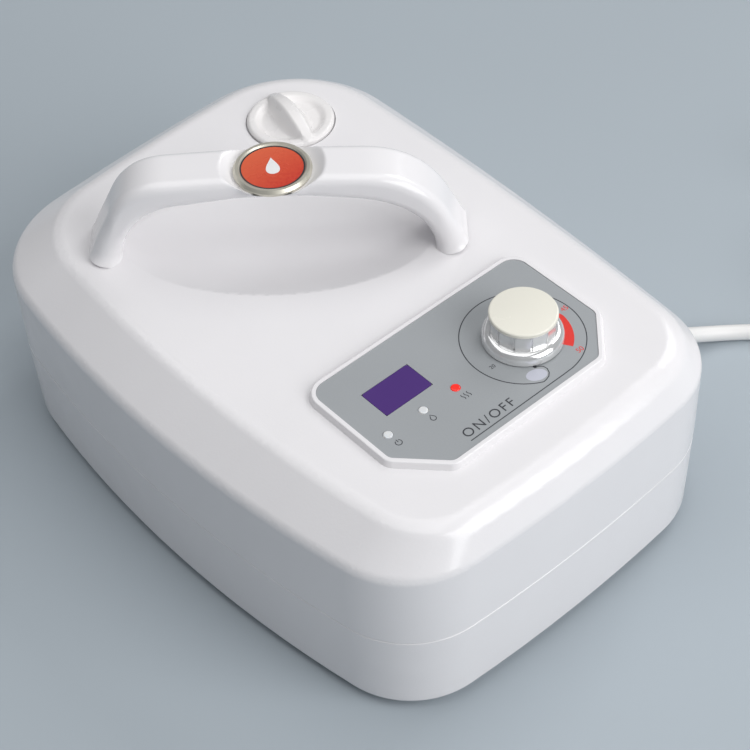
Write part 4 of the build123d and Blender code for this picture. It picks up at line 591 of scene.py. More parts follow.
@dataclass
class RepeatTree:
    """Geometry Nodes tree that sets copies of a tapered ring or bar at equal steps on a line."""

    name: str
    ring_corners: int = 40

    def build(self, material: bpy.types.Material, ring: bool) -> bpy.types.NodeTree:
        """Builds the tree.

        Args:
            material: Finish of the copies.
            ring: True for rings about the line, False for bars across it.

        Returns:
            The node tree with the inputs Count, Start, Step, Turn, Width, Depth and Height.
        """
        tree = bpy.data.node_groups.new(self.name, "GeometryNodeTree")
        tree.interface.new_socket("Geometry", in_out="OUTPUT", socket_type="NodeSocketGeometry")
        kinds = {"Count": "Int", "Start": "Vector", "Step": "Vector", "Turn": "Rotation"}
        kinds.update({"Width": "Float", "Depth": "Float", "Height": "Float"})
        for label, kind in kinds.items():
            tree.interface.new_socket(label, in_out="INPUT", socket_type="NodeSocket" + kind)
        given = tree.nodes.new("NodeGroupInput").outputs
        line = tree.nodes.new("GeometryNodeMeshLine")
        copies = tree.nodes.new("GeometryNodeInstanceOnPoints")
        real = tree.nodes.new("GeometryNodeRealizeInstances")
        coat = tree.nodes.new("GeometryNodeSetMaterial")
        coat.inputs["Material"].default_value = material
        result = tree.nodes.new("NodeGroupOutput")
        if ring:
            shape = tree.nodes.new("GeometryNodeMeshCone")
            shape.inputs["Vertices"].default_value = self.ring_corners
            size = shape
            names = {"Width": "Radius Top", "Depth": "Radius Bottom", "Height": "Depth"}
        else:
            shape = tree.nodes.new("GeometryNodeMeshCube")
            size = tree.nodes.new("ShaderNodeCombineXYZ")
            tree.links.new(size.outputs["Vector"], shape.inputs["Size"])
            names = {"Width": "X", "Depth": "Y", "Height": "Z"}
        for label, name in names.items():
            tree.links.new(given[label], size.inputs[name])
        for source, target in (
            (given["Count"], line.inputs["Count"]),
            (given["Start"], line.inputs["Start Location"]),
            (given["Step"], line.inputs["Offset"]),
            (line.outputs["Mesh"], copies.inputs["Points"]),
            (shape.outputs["Mesh"], copies.inputs["Instance"]),
            (given["Turn"], copies.inputs["Rotation"]),
            (copies.outputs["Instances"], real.inputs["Geometry"]),
            (real.outputs["Geometry"], coat.inputs["Geometry"]),
            (coat.outputs["Geometry"], result.inputs["Geometry"]),
        ):
            tree.links.new(source, target)
        return tree


def grown(tree: bpy.types.NodeTree, values: dict[str, object], rounding: float = 0.0) -> Mesh:
    """Runs a tree with its inputs set and returns the result as a plain mesh.

    Args:
        tree: The Geometry Nodes tree.
        values: Value of each named input.
        rounding: Width in metres of the bevel on the result's edges.

    Returns:
        The plain mesh.
    """
    holder = linked("holder", bpy.data.meshes.new("holder"))
    modifier = holder.modifiers.new("nodes", "NODES")
    modifier.node_group = tree
    for item in tree.interface.items_tree:
        if item.in_out == "INPUT" and item.name in values:
            modifier[item.identifier] = values[item.name]
    if rounding:
        edge = holder.modifiers.new("edge", "BEVEL")
        edge.width = rounding
        edge.segments = 2
        edge.limit_method = "ANGLE"
    return baked(holder)


@dataclass(frozen=True)
class Viewpoint:
    """Camera at the photograph's viewing angle."""

    place: Place = (-355.3, -459.9, 648.2)
    azimuth: float = -39.654
    elevation: float = 46.801
    roll: float = -2.909
    focal_pixels: float = 1901.3
    frame_pixels: float = 750.0
    sensor: float = 36.0
    farthest: float = 20.0

    def build(self) -> None:
        """Makes the camera and gives it to the scene."""
        az, el, roll = (math.radians(angle) for angle in (self.azimuth, self.elevation, self.roll))
        ahead = Vector(
            (-math.sin(az) * math.cos(el), math.cos(az) * math.cos(el), -math.sin(el))
        )
        level = Vector((math.cos(az), math.sin(az), 0.0))
        upward = level.cross(ahead)
        right = level * math.cos(roll) + upward * math.sin(roll)
        top = upward * math.cos(roll) - level * math.sin(roll)
        camera = bpy.data.cameras.new("photo_camera")
        camera.sensor_width = self.sensor
        camera.lens = self.sensor * self.focal_pixels / self.frame_pixels
        camera.clip_end = self.farthest
        holder = linked("photo_camera", camera)
        facing = Matrix((right, top, -ahead)).transposed().to_4x4()
        holder.matrix_world = Matrix.Translation(Vector(self.place) * MM) @ facing
        bpy.context.scene.camera = holder
        LOG.info("camera placed with a lens of %.1f mm", camera.lens)


@dataclass(frozen=True)
class Studio:
    """Pale floor and soft light: a key light at the right, one in front and one above."""

    floor_half: float = 6.0
    floor_colour: Colour = (0.42, 0.47, 0.51)
    world_colour: Colour = (0.93, 0.96, 1.0)
    world_strength: float = 0.2
    aim: Place = (0.0, 0.0, 0.05)
    # Name, place in metres, side of the square in metres and watts of each light
    lamps: tuple[tuple[str, Place, float, float], ...] = (
        ("key_light", (1.45, 0.1, 1.35), 0.8, 7.5),
        ("front_light", (0.4, -1.65, 1.15), 1.5, 28.0),
        ("top_light", (-0.2, 0.3, 2.1), 2.2, 20.0),
    )

    def build(self) -> None:
        """Makes the floor, the lamps and the world."""
        half = self.floor_half
        mesh = bpy.data.meshes.new("floor")
        corners = [(-half, -half, 0), (half, -half, 0), (half, half, 0), (-half, half, 0)]
        mesh.from_pydata(corners, [], [(0, 1, 2, 3)])
        bench = NodeBench("floor_matte")
        cloud = bench.noise(*FLOOR_CLOUD)
        bench.feed("Base Color", bench.clouded(cloud, self.floor_colour, 0.985, 1.015))
        bench.set(Roughness=0.9, Specular_IOR_Level=0.1)
        mesh.materials.append(bench.material)
        floor = linked("floor", mesh)
        for name, place, size, power in self.lamps:
            light = bpy.data.lights.new(name, "AREA")
            light.size = size
            light.energy = power
            holder = linked(name, light)
            holder.location = place
            way = Vector(self.aim) - Vector(place)
            holder.rotation_euler = way.to_track_quat("-Z", "Y").to_euler()
            LOG.info("lamp %s of %.1f W", name, power)
        world = bpy.data.worlds.new("studio_world")
        world.use_nodes = True
        sky = world.node_tree.nodes["Background"]
        sky.inputs["Color"].default_value = (*self.world_colour, 1.0)
        sky.inputs["Strength"].default_value = self.world_strength
        bpy.context.scene.world = world
        bpy.context.scene.view_settings.view_transform = "Standard"


@dataclass
class Assembly:
    """One sub-assembly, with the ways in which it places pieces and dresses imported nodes."""

    finishes: Finishes

    def place(self, name: str, mesh: Mesh, finish: str, body: Body = Body.HOUSING) -> Piece:
        """Puts a mesh in the scene as a piece that rides on a body.

        Args:
            name: Name of the piece.
            mesh: Its mesh, already in place.
            finish: Name of its finish.
            body: Body that it rides on.

        Returns:
            The new object.
        """
        mesh.name = name
        mesh.materials.clear()
        mesh.materials.append(self.finishes[finish])
        piece = linked(name, mesh)
        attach(piece, body.value)
        LOG.info("piece %s rides on %s", name, body.value)
        return piece

    def smooth(
        self, node: str, finish: str, body: Body = Body.HOUSING, crease: float = CREASE
    ) -> Piece:
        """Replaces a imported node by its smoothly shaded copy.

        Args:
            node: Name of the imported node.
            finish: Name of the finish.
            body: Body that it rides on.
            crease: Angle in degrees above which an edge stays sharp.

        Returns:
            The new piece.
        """
        piece = self.place(node + "_skin", smooth_copy(node, crease), finish, body)
        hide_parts(node)
        return piece

    def coat(self, node: str, finish: str) -> None:
        """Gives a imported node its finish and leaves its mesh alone.

        Args:
            node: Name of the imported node.
            finish: Name of the finish.
        """
        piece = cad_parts[node]
        if not piece.material_slots:
            piece.data.materials.append(self.finishes[finish])
        for slot in piece.material_slots:
            slot.material = self.finishes[finish]
        LOG.info("node %s has the finish %s", node, finish)


@dataclass
class MainsLead(Assembly):
    """Mains cord from its gland at the right wall to the put-away coil and the plug."""

    radius: float = 3.75
    route: tuple[Place, ...] = (
        (118.5, -77.0, 15.0),
        (131.5, -77.0, 15.0),
        (144.1, -78.3, 12.1),
        (155.7, -81.2, 6.9),
        (168.3, -87.6, 3.9),
        (179.6, -97.4, 4.0),
        (188.8, -109.2, 4.3),
        (194.7, -122.4, 4.65),
    )
    heading: float = -78.0
    last_run: float = 14.0
    coil_lead: float = 8.0
    coil_inner: float = 26.0
    coil_pitch: float = 9.7
    coil_layer: float = 8.0
    coil_turns: int = 3
    coil_tail: float = 20.0
    steps: int = 16
    plug_width: float = 38.0
    # Distance from the cord's end to the first rib, then pitch, size, edge and number of the ribs
    rib_start: float = 31.0
    rib_pitch: float = 3.2
    rib_size: Place = (1.2, 1.5, 15.0)
    rib_edge: float = 0.4
    rib_count: int = 5
    real_length: float = 1750.7

    def ways(self) -> tuple[Vector, Vector]:
        """Returns the plug's direction and the one to its left."""
        forward = Vector((*around((0.0, 0.0), 1.0, self.heading), 0.0))
        return forward, Vector((-forward.y, forward.x, 0.0))

    def coil_points(self) -> list[Vector]:
        """Works out the coil's turns: in on the table, half a turn of climb, out on top.

        Returns:
            Control points from the first turn to the end of the tail.
        """
        forward, leftward = self.ways()
        outer = self.coil_inner + self.coil_turns * self.coil_pitch
        entry = Vector(self.route[-1]) + forward * (self.last_run + self.coil_lead)
        middle = entry + leftward * outer
        first = math.atan2(-leftward.y, -leftward.x)
        step = 2 * math.pi / self.steps
        points = []
        for k in range(int((2 * self.coil_turns + 0.5) * self.steps)):
            turns = (k + 0.5) / self.steps
            climb = min(max(2 * (turns - self.coil_turns), 0.0), 1.0)
            if climb < 1.0:
                reach = max(outer - self.coil_pitch * turns, self.coil_inner)
            else:
                reach = self.coil_inner + self.coil_pitch * (turns - self.coil_turns - 0.5)
            reach /= math.cos(step / 2)
            angle = first + 2 * math.pi * turns
            rise = self.coil_layer * eased(climb)
            points.append(middle + Vector((reach * math.cos(angle), reach * math.sin(angle), rise)))
        end = middle + leftward * outer + Vector((0.0, 0.0, self.coil_layer))
        points.append(end - forward * self.coil_tail)
        return points

    def build(self) -> None:
        curve = bpy.data.curves.new("mains_cord", "CURVE")
        curve.dimensions = "3D"
        curve.bevel_depth = self.radius * MM
        curve.bevel_resolution = 6
        curve.resolution_u = 8
        curve.use_fill_caps = True
        spline = curve.splines.new("NURBS")
        points = [Vector(place) for place in self.route] + self.coil_points()
        spline.points.add(len(points) - 1)
        for knot, point in zip(spline.points, points):
            knot.co = (*(point * MM), 1.0)
        spline.order_u = 3
        spline.use_endpoint_u = True
        curve.materials.append(self.finishes["cord_white"])
        cord = linked("mains_cord", curve)
        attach(cord, Body.HOUSING.value)
        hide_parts("power_cord", "cord_coil")
        gland = self.smooth("cord_gland", "cord_white")
        plug = self.smooth("plug_body", "plug_white")
        self.coat("plug_pins", "pin_brass")
        self.coat("coil_tie", "tie_white")
        ribs = self.grip_ribs()
        LOG.info("cord has %d control points", len(points))

    def grip_ribs(self) -> Piece:
        """Makes the rows of finger ribs on the plug's two flanks.

        Returns:
            The piece with all ribs.
        """
        forward, leftward = self.ways()
        end = self.coil_points()[-1]
        tree = RepeatTree("plug_rib_rows").build(self.finishes["plug_white"], ring=False)
        values = dict(zip(("Width", "Depth", "Height"), (part * MM for part in self.rib_size)))
        values["Count"] = self.rib_count
        values["Step"] = tuple(-forward * self.rib_pitch * MM)
        values["Turn"] = (0.0, 0.0, math.radians(self.heading + 90.0))
        mesh = bpy.data.meshes.new("plug_ribs")
        with mesh_bench(mesh) as bench:
            for side in (-1, 1):
                start = end - forward * self.rib_start + leftward * (side * self.plug_width / 2)
                values["Start"] = tuple(start * MM)
                bench.from_mesh(grown(tree, values, self.rib_edge * MM))
        return self.place("plug_ribs", mesh, "plug_white")


@dataclass
class HousingShells(Assembly):
    """The two moulded halves, the rubber feet and what shows of the fixings."""

    def build(self) -> None:
        """Dresses the shells, the feet and the screws."""
        for node in ("upper_shell", "lower_shell"):
            self.smooth(node, "shell_white")
        self.smooth("rubber_feet", "feet_rubber")
        self.coat("case_screws", "screw_steel")


def eased(value: float) -> float:
    """Returns the value held between 0 and 1 and eased at both ends."""
    held = min(max(value, 0.0), 1.0)
    return held * held * (3.0 - 2.0 * held)


def rounded_run(
    corners: tuple[Point, ...], bends: tuple[float, ...], counts: tuple[int, ...]
) -> list[Vector]:
    """Makes points along straight runs joined by smooth bends.

    Args:
        corners: Ends and corners of the run.
        bends: Radius of the arc whose ends the bend at each corner shares.
        counts: Number of points on each straight and bend in turn.

    Returns:
        The points, as many for every run with the same counts.
    """
    points: list[Vector] = []
    start = Vector(corners[0])
    for i, bend in enumerate(bends):
        corner = Vector(corners[i + 1])
        way_in = (corner - Vector(corners[i])).normalized()
        way_out = (Vector(corners[i + 2]) - corner).normalized()
        reach = bend * math.tan(way_in.angle(way_out) / 2)
        first = corner - way_in * min(reach, (corner - start).length)
        last = corner + way_out * reach
        straight, curved = counts[2 * i], counts[2 * i + 1]
        points += [start.lerp(first, k / straight) for k in range(straight)]
        for k in range(curved):
            share = k / curved
            points.append(first.lerp(corner, share).lerp(corner.lerp(last, share), share))
        start = last
    end = Vector(corners[-1])
    return points + [start.lerp(end, k / counts[-1]) for k in range(counts[-1] + 1)]


@dataclass
class CarryHandle(Assembly):
    """Arched handle with soft flared feet, a dished seat in its crown and the round badge in it."""

    middle: Point = (-2.3, 25.2)
    turn: float = -40.6
    outer: tuple[Point, ...] = ((79.4, 88.6), (79.4, 102.5), (61.5, 139.0), (0.0, 141.5))
    inner: tuple[Point, ...] = ((68.9, 88.6), (68.9, 100.0), (55.5, 125.5), (0.0, 132.0))
    # Radius of the shoulders at the left and the right
    outer_bends: Point = (28.0, 40.0)
    inner_bends: Point = (29.0, 48.0)
    ankle_bend: float = 44.0
    counts: tuple[int, ...] = (3, 16, 18, 26, 56)
    half_width: float = 12.0
    edge_radius: float = 4.6
    edge_growth: float = 5.0
    edge_limit: float = 0.96
    corner_steps: int = 8
    flat_steps: int = 30
    roof: float = 99.0
    roof_step: float = 0.02
    flare_top: float = 122.0
    flare_side: float = 3.6
    flare_end: float = 2.0
    # Shares of the flare that grow from the top and in the skirt above the roof
    flare_shares: Point = (0.6, 0.4)
    skirt: float = 5.0
    seat_level: float = 136.5
    seat_radius: float = 17.0
    seat_mouth: float = 23.0
    seat_gap: float = 0.01
    lip_radius: float = 18.0
    lip_blend: float = 2.0
    face_radius: float = 13.5
    crown: float = 139.0
    edge: float = 138.2
    crease: float = 38.0
    # The pale drop: its size, turn, taper, stretch and shift, and its levels about the face's dome
    drop_size: float = 4.2
    drop_turn: float = 8.0
    drop_taper: float = 1.6
    drop_stretch: float = 1.25
    drop_shift: float = 0.4
    drop_levels: Point = (-0.1, 0.05)
    drop_split: float = 0.4
    drop_steps: int = 48
    # The dark joint, measured from the face's radius and from its edge
    rim_reaches: Point = (0.35, -0.55)
    rim_levels: Point = (-0.1, 0.16)
    rim_steps: int = 96

    def build(self) -> None:
        """Makes the handle and dresses its badge."""
        arch = self.place("handle_arch", self.arch(), "handle_white")
        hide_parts("carry_handle")
        self.smooth("badge_ring", "badge_ring")
        self.smooth("badge_disc", "badge_face")
        self.coat("handle_screws", "screw_steel")
        self.place("badge_joint", self.dark_rim(), "module_black")
        self.place("badge_drop", self.drop(), "ink_white")

    def stations(self) -> list[Station]:
        """Works out the pairs of points that the sections stand between.

        Returns:
            The stations from foot to foot.
        """
        sides = []
        for outer_bend, inner_bend in zip(self.outer_bends, self.inner_bends):
            outer = rounded_run(self.outer, (self.ankle_bend, outer_bend), self.counts)
            inner = rounded_run(self.inner, (self.ankle_bend, inner_bend), self.counts)
            sides.append(self.flared(outer, inner))
        left, right = sides
        mirrored = [
            (Vector((-high.x, high.y)), Vector((-low.x, low.y)), flare) for high, low, flare in left
        ]
        return right + mirrored[-2::-1]

    def flared(self, outer: list[Vector], inner: list[Vector]) -> list[Station]:
        """Pairs the points of one half and gives each pair its share of the foot's flare.

        Args:
            outer: Points on the outside of the arch, from the foot up.
            inner: Points on its inside.

        Returns:
            The stations of this half.
        """
        half: list[Station] = []
        for high, low in zip(outer, inner):
            level = (high.y + low.y) / 2
            if level < self.roof:
                half.append((high, low, 0.0))
                continue
            if half[-1][2] == 0.0 and half[-1][0].y < self.roof:
                sunk = self.roof - self.roof_step
                flat = [Vector((high.x, sunk)), Vector((low.x, sunk))]
                half += [(*flat, 0.0), (*flat, 1.0)]
            share = max((self.flare_top - level) / (self.flare_top - self.roof), 0.0)
            near = max((self.roof + self.skirt - level) / self.skirt, 0.0)
            flare = self.flare_shares[0] * share**2 + self.flare_shares[1] * near**2
            half.append((high, low, flare))
        return half

    def section(self, station: Station) -> list[Place]:
        """Works out one rounded section of the handle.

        Args:
            station: Where the section stands.

        Returns:
            Places in the handle's own frame: along, across, up.
        """
        high, low, flare = station
        upward = (high - low).normalized()
        thick = (high - low).length / 2 + self.flare_end * flare
        centre = (high + low) / 2
        lip = math.sqrt(max(self.lip_radius**2 - centre.x**2, 0.0))
        lower = self.half_width + self.flare_side * flare
        wide = (lower + lip + math.hypot(lower - lip, self.lip_blend)) / 2
        bend = min(self.edge_radius + self.edge_growth * flare, thick * self.edge_limit)
        ring: list[Point] = []
        for corner, (side, top) in enumerate(((1, 1), (1, -1), (-1, -1), (-1, 1))):
            heart = side * (wide - bend), top * (thick - bend)
            first = 90.0 * (1 - corner)
            ring += arc(heart, bend, first, first - 90.0, self.corner_steps)
            if side != top:
                flat = [1 - 2 * (k + 1) / self.flat_steps for k in range(self.flat_steps - 1)]
                ring += [(heart[0] * share, top * thick) for share in flat]
        slope = (self.outer[-1][1] - self.seat_level) / (self.seat_mouth - self.seat_radius)
        places: list[Place] = []
        for across, rise in ring:
            narrow = lower + (wide - lower) * (rise + thick) / (2 * thick)
            spot = centre + upward * rise
            across *= narrow / wide
            away = math.hypot(spot.x, across)
            rising = max(away - self.seat_radius, 0.0) * slope
            ceiling = self.seat_level - self.seat_gap + rising
            places.append((spot.x, across, min(spot.y, ceiling)))
        return places

    def arch(self) -> Mesh:
        """Skins the sections into one closed mesh.

        Returns:
            The handle's mesh in its place.
        """
        turn = math.radians(self.turn)
        rings = [self.section(station) for station in self.stations()]
        count = len(rings[0])
        vertices: list[Place] = []
        for ring in rings:
            vertices += [
                (*turned(self.middle, turn, along, across), up) for along, across, up in ring
            ]
        faces = [tuple(range(count)), tuple(range(len(vertices) - count, len(vertices)))]
        for row in range(len(rings) - 1):
            faces += quads(count, row * count, (row + 1) * count)
        mesh = solid_mesh(vertices, faces)
        with mesh_bench(mesh) as bench:
            bmesh.ops.remove_doubles(bench, verts=bench.verts, dist=JOIN_DISTANCE)
        return shaded(mesh, self.crease)

    def dark_rim(self) -> Mesh:
        """Makes the thin dark joint between the ring and the red face.

        Returns:
            The joint's mesh.
        """
        count = self.rim_steps
        rings: list[Point] = []
        for reach in self.rim_reaches:
            rings += arc(self.middle, self.face_radius + reach, 0.0, 360.0, count)[:-1]
        vertices = [(x, y, self.edge + level) for level in self.rim_levels for x, y in rings]
        faces = []
        for i in range(count):
            j = (i + 1) % count
            faces.append((i, j, count + j, count + i))
            faces.append((2 * count + i, 3 * count + i, 3 * count + j, 2 * count + j))
            faces.append((i, 2 * count + i, 2 * count + j, j))
            faces.append((count + i, count + j, 3 * count + j, 3 * count + i))
        return solid_mesh(vertices, faces)

    def drop(self) -> Mesh:
        """Makes a plain pale drop that lies on the red face, along the handle.

        Returns:
            The drop's mesh, bent to the face's dome.
        """
        size = self.drop_size
        turn = math.radians(self.turn + self.drop_turn)
        rim: list[Point] = []
        for i in range(1, self.drop_steps + 1):
            angle = 2 * math.pi * i / self.drop_steps
            wide = size * math.sin(angle) * math.sin(angle / 2) ** self.drop_taper
            long = size * self.drop_stretch * math.cos(angle) + self.drop_shift
            rim.append(turned(self.middle, turn, wide, long))
        height = self.crown - self.edge
        ball = (self.face_radius**2 + height**2) / (2 * height)
        mesh = plate(rim, (0.0, 1.0))
        with mesh_bench(mesh) as bench:
            wide_faces = [face for face in bench.faces if len(face.verts) > 4]
            bmesh.ops.triangulate(bench, faces=wide_faces)
            bmesh.ops.subdivide_edges(bench, edges=bench.edges, cuts=1, use_grid_fill=True)
            for vertex in bench.verts:
                x, y = vertex.co.x / MM - self.middle[0], vertex.co.y / MM - self.middle[1]
                dome = self.crown - ball + math.sqrt(ball**2 - Vector((x, y)).length ** 2)
                upper = vertex.co.z > self.drop_split * MM
                vertex.co.z = (dome + self.drop_levels[upper]) * MM
            bmesh.ops.remove_doubles(bench, verts=bench.verts, dist=JOIN_DISTANCE)
        return mesh


@dataclass
class DialPanel(Assembly):
    """Grey printed panel with its display, lamps and printed marks."""

    # Heights of the underside and the top of the print
    levels: Point = (101.48, 101.54)
    dial: Point = (29.0, -90.0)
    ring_radius: float = 25.6
    ring_width: float = 0.42
    ring_span: Point = (244.0, -85.0)
    ring_steps: int = 110
    hook: tuple[Point, ...] = (
        (20.3, -105.3), (22.2, -105.7), (23.5, -107.0), (23.8, -108.9),
        (22.9, -110.9), (21.3, -112.3), (19.1, -112.9),
    )
    hook_tip: tuple[Point, ...] = ((20.4, -104.3), (21.6, -105.3))
    tip_width: float = 1.0
    run_out: tuple[Point, ...] = ((27.0, -115.6), (10.0, -115.6), (-24.0, -115.6))
    # Angles of the red band's ends, its inner and outer radius and its growth from the thin end
    band_ends: Point = (24.0, -58.0)
    band_radii: Point = (16.2, 17.3)
    band_growth: float = 3.3
    band_growth_steps: int = 16
    band_steps: int = 40
    patch_middle: Point = (18.4, -108.5)
    patch_halves: Point = (4.4, 3.0)
    patch_lean: float = -22.0
    patch_steps: int = 48
    # Name, words, size, middle, spacing and ink of each lettering
    lettered: tuple[tuple[str, str, float, Point, float, str], ...] = (
        ("switch_words", "ON/OFF", 6.2, (-11.0, -111.9), 1.25, "ink_dark"),
        ("number_45", "45", 3.4, (52.6, -90.2), 1.0, "ink_red"),
        ("number_50", "50", 3.4, (40.6, -110.6), 1.0, "ink_red"),
        ("number_20", "20", 2.6, (8.9, -93.4), 1.0, "ink_dark"),
    )
    # The signs: an open circle with a bar, a drop with its tip, and waves that rise
    sign_width: float = 0.34
    power_sign: Point = (-44.6, -97.2)
    circle_radius: float = 1.35
    circle_span: Point = (120.0, 420.0)
    bar_span: Point = (0.2, 1.7)
    water_sign: Point = (-26.5, -97.2)
    drop_radius: float = 1.15
    drop_span: Point = (-215.0, 35.0)
    drop_tip: float = 2.1
    heat_sign: Point = (-10.6, -98.6)
    wave_count: int = 3
    wave_pitch: float = 1.5
    wave_swing: float = 0.35
    wave_rise: float = 0.36

    def build(self) -> None:
        """Dresses the panel and prints its marks."""
        self.smooth("panel_overlay", "panel_grey")
        self.smooth("display_window", "display_violet")
        for node in ("lamp_power", "lamp_water"):
            self.smooth(node, "lamp_white")
        self.smooth("lamp_heat", "lamp_red")
        self.dial_marks()
        for name, words, size, middle, spacing, ink in self.lettered:
            self.place(name, lettering(words, size, middle, self.levels, spacing), ink)
        self.lamp_signs()

    def stroke(self, name: str, line: list[Point] | tuple[Point, ...], width: float) -> None:
        """Prints one line in dark ink."""
        self.place(name, printed_line(line, width, self.levels), "ink_dark")

    def dial_marks(self) -> None:
        """Prints the line that hooks out, rings the dial and runs out, the band and the patch."""
        ring = arc(self.dial, self.ring_radius, *self.ring_span, self.ring_steps)
        self.stroke("ring_line", [*self.hook, *ring, *self.run_out], self.ring_width)
        first, last = self.band_ends
        near, far = self.band_radii
        steps = self.band_steps
        outer: list[Point] = []
        for i in range(steps + 1):
            reach = far + self.band_growth * min(1.0, (i + 1) / self.band_growth_steps)
            outer.append(around(self.dial, reach, first + (last - first) * i / steps))
        inner = arc(self.dial, near, last, first, steps)
        self.place("red_band", plate(outer + inner, self.levels), "ink_red")
        lean = math.radians(self.patch_lean)
        patch: list[Point] = []
        for x, y in arc((0.0, 0.0), 1.0, 0.0, 360.0, self.patch_steps)[:-1]:
            along, across = self.patch_halves[0] * x, self.patch_halves[1] * y
            patch.append(turned(self.patch_middle, lean, along, across))
        self.place("pale_patch", plate(patch, self.levels), "ink_pale")
        self.stroke("hook_tip", self.hook_tip, self.tip_width)

    def lamp_signs(self) -> None:
        """Prints a plain sign under each lamp: a bar in an open circle, a drop and heat waves."""
        x, y = self.power_sign
        signs = {
            "circle": arc(self.power_sign, self.circle_radius, *self.circle_span, 30),
            "bar": [(x, y + rise) for rise in self.bar_span],
        }
        for name, line in signs.items():
            self.stroke("sign_power_" + name, line, self.sign_width)
        x, y = self.water_sign
        drop = arc(self.water_sign, self.drop_radius, *self.drop_span, 24)
        self.stroke("sign_water", [*drop, (x, y + self.drop_tip), drop[0]], self.sign_width)
        for i in range(self.wave_count):
            x, y = self.heat_sign[0] + i * self.wave_pitch, self.heat_sign[1]
            wave = [
                (x + self.wave_swing * math.sin(k * math.pi / 4), y + k * self.wave_rise)
                for k in range(9)
            ]
            self.stroke("sign_heat_%d" % i, wave, self.sign_width)


@dataclass
class Dial(Assembly):
    """Plated dial knob with its cream top."""

    knob_crease: float = 20.0

    def build(self) -> None:
        """Dresses the knob, its top and the shaft."""
        self.smooth("dial_knob", "knob_chrome", Body.DIAL, self.knob_crease)
        self.smooth("knob_cap", "knob_cream", Body.DIAL)
        self.coat("dial_shaft", "screw_steel")


@dataclass
class Filler(Assembly):
    """Low screw-in fill cap with a grip fin between two finger scoops, and its sealing ring."""

    middle: Point = (51.6, 81.7)
    fin_angle: float = 77.0
    radius: float = 19.9
    rim: float = 101.0
    rim_round: float = 1.6
    rim_drop: float = 1.1
    scoop_floor: float = 99.1
    scoop_radius: float = 12.6
    scoop_slope: float = 4.0
    crest: float = 107.2
    crest_half: float = 1.9
    flank: float = 6.2
    flank_least: float = 0.6
    fin_sink: float = 1.0
    blend: float = 0.5
    under: float = 98.5
    plug_radius: float = 11.2
    plug_bore: float = 9.2
    plug_bottom: float = 86.0
    bore_top: float = 96.5
    spokes: int = 120
    top_rings: int = 44
    crease: float = 40.0

    def build(self) -> None:
        """Makes the cap and dresses the seal."""
        cap = self.place("fill_cap_form", self.form(), "cap_white", Body.FILL_CAP)
        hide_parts("fill_cap")
        self.coat("cap_seal", "seal_rubber")

    def height(self, reach: float, angle: float) -> float:
        """Works out the height of the cap's top.

        Args:
            reach: Distance from the cap's middle.
            angle: Angle from the fin, in radians.

        Returns:
            Height above the table.
        """
        along, across = reach * math.cos(angle), reach * math.sin(angle)
        rise = eased((reach - self.scoop_radius) / self.scoop_slope)
        cup = self.scoop_floor + (self.rim - self.scoop_floor) * rise
        taper = max(1.0 - (along / self.radius) ** 2, 0.0)
        crest = self.rim + (self.crest - self.rim) * taper
        fall = eased((abs(across) - self.crest_half) / (self.flank_least + self.flank * taper))
        fin = crest + (self.scoop_floor - self.fin_sink - crest) * fall
        top = (cup + fin + math.hypot(cup - fin, self.blend)) / 2
        past = max((reach - self.radius + self.rim_round) / self.rim_round, 0.0)
        return top - self.rim_drop * past**2

    def form(self) -> Mesh:
        """Makes the cap's closed mesh: top field, rim, hollow plug.

        Returns:
            The cap's mesh in its place.
        """
        turn = math.radians(self.fin_angle)
        rings: list[tuple[float, float | None]] = [
            (self.radius * (k / self.top_rings), None) for k in range(1, self.top_rings + 1)
        ]
        rings += [
            (self.radius, self.under),
            (self.plug_radius, self.under),
            (self.plug_radius, self.plug_bottom),
            (self.plug_bore, self.plug_bottom),
            (self.plug_bore, self.bore_top),
        ]
        vertices: list[Place] = [(*self.middle, self.height(0.0, 0.0))]
        for reach, level in rings:
            for k in range(self.spokes):
                angle = 2 * math.pi * k / self.spokes
                up = self.height(reach, angle - turn) if level is None else level
                vertices.append((*turned(self.middle, angle, reach, 0.0), up))
        vertices.append((*self.middle, self.bore_top))
        last = len(vertices) - 1
        start = last - self.spokes
        faces: list[Face] = []
        for k in range(self.spokes):
            after = (k + 1) % self.spokes
            faces += [(0, 1 + k, 1 + after), (last, start + after, start + k)]
            for row in range(len(rings) - 1):
                low = 1 + row * self.spokes
                high = low + self.spokes
                faces.append((low + k, high + k, high + after, low + after))
        return shaded(solid_mesh(vertices, faces), self.crease)


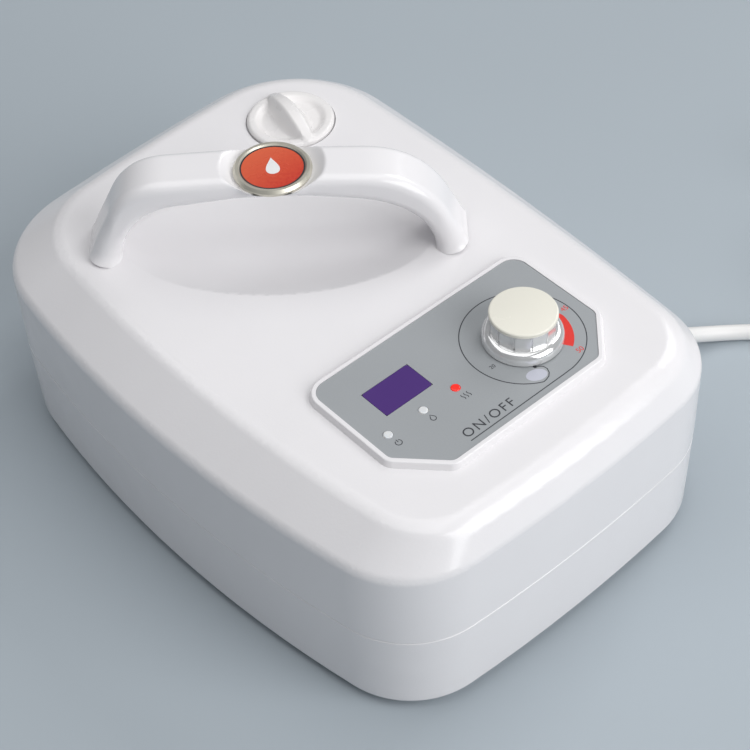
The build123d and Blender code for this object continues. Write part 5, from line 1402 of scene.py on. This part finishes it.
@dataclass
class HoseNozzles(Assembly):
    """Two nozzles through the back wall, each with gripping rings for its hose."""

    middles: tuple[Place, ...] = ((-34.0, 134.5, 31.0), (-4.0, 134.5, 31.0))
    ring_radii: Point = (3.95, 4.45)
    ring_height: float = 2.4
    ring_pitch: float = 4.0
    rings: int = 4

    def build(self) -> None:
        """Dresses the nozzles and adds the rings."""
        for node in ("outlet_nozzle", "return_nozzle"):
            self.smooth(node, "nozzle_plastic")
        tree = RepeatTree("nozzle_ring_row").build(self.finishes["nozzle_plastic"], ring=True)
        for name, start in zip(("outlet_rings", "return_rings"), self.middles):
            values = {
                "Count": self.rings,
                "Start": tuple(part * MM for part in start),
                "Step": (0.0, self.ring_pitch * MM, 0.0),
                "Turn": (math.radians(-90.0), 0.0, 0.0),
                "Width": self.ring_radii[0] * MM,
                "Depth": self.ring_radii[1] * MM,
                "Height": self.ring_height * MM,
            }
            self.place(name, grown(tree, values), "nozzle_plastic")


@dataclass
class Inside(Assembly):
    """Boards, tank, pump, heater and hoses that the housing hides."""

    def build(self) -> None:
        """Dresses every hidden node."""
        coats = {
            "module_black": "display_module rotary_control terminal_block thermal_cutout",
            "screw_steel": "control_nut board_screws pump_shaft cutout_strap hose_clamps",
            "board_green": "control_board power_board",
            "transformer_iron": "transformer",
            "tank_milky": "tank_base tank_lid float_guide",
            "float_foam": "level_float",
            "pump_black": "pump_body pump_cover pump_impeller",
            "heater_metal": "heater_block",
            "hose_silicone": "hose_tank_pump hose_pump_heater hose_heater_outlet hose_return",
            "seal_rubber": "nozzle_washers",
            "nozzle_plastic": "nozzle_nuts cord_clamp",
            "cord_white": "cord_tail",
        }
        for finish, nodes in coats.items():
            for node in nodes.split():
                self.coat(node, finish)


def main() -> None:
    """Builds the picture: camera and cord first, then each sub-assembly."""
    logging.basicConfig(level=logging.INFO, format="%(name)s: %(message)s")
    Viewpoint().build()
    finishes = Finishes()
    MainsLead(finishes).build()
    for assembly in (HousingShells, CarryHandle, DialPanel, Dial, Filler, HoseNozzles, Inside):
        assembly(finishes).build()
        LOG.info("built %s", assembly.__name__)
    Studio().build()


if __name__ == "__main__":
    main()
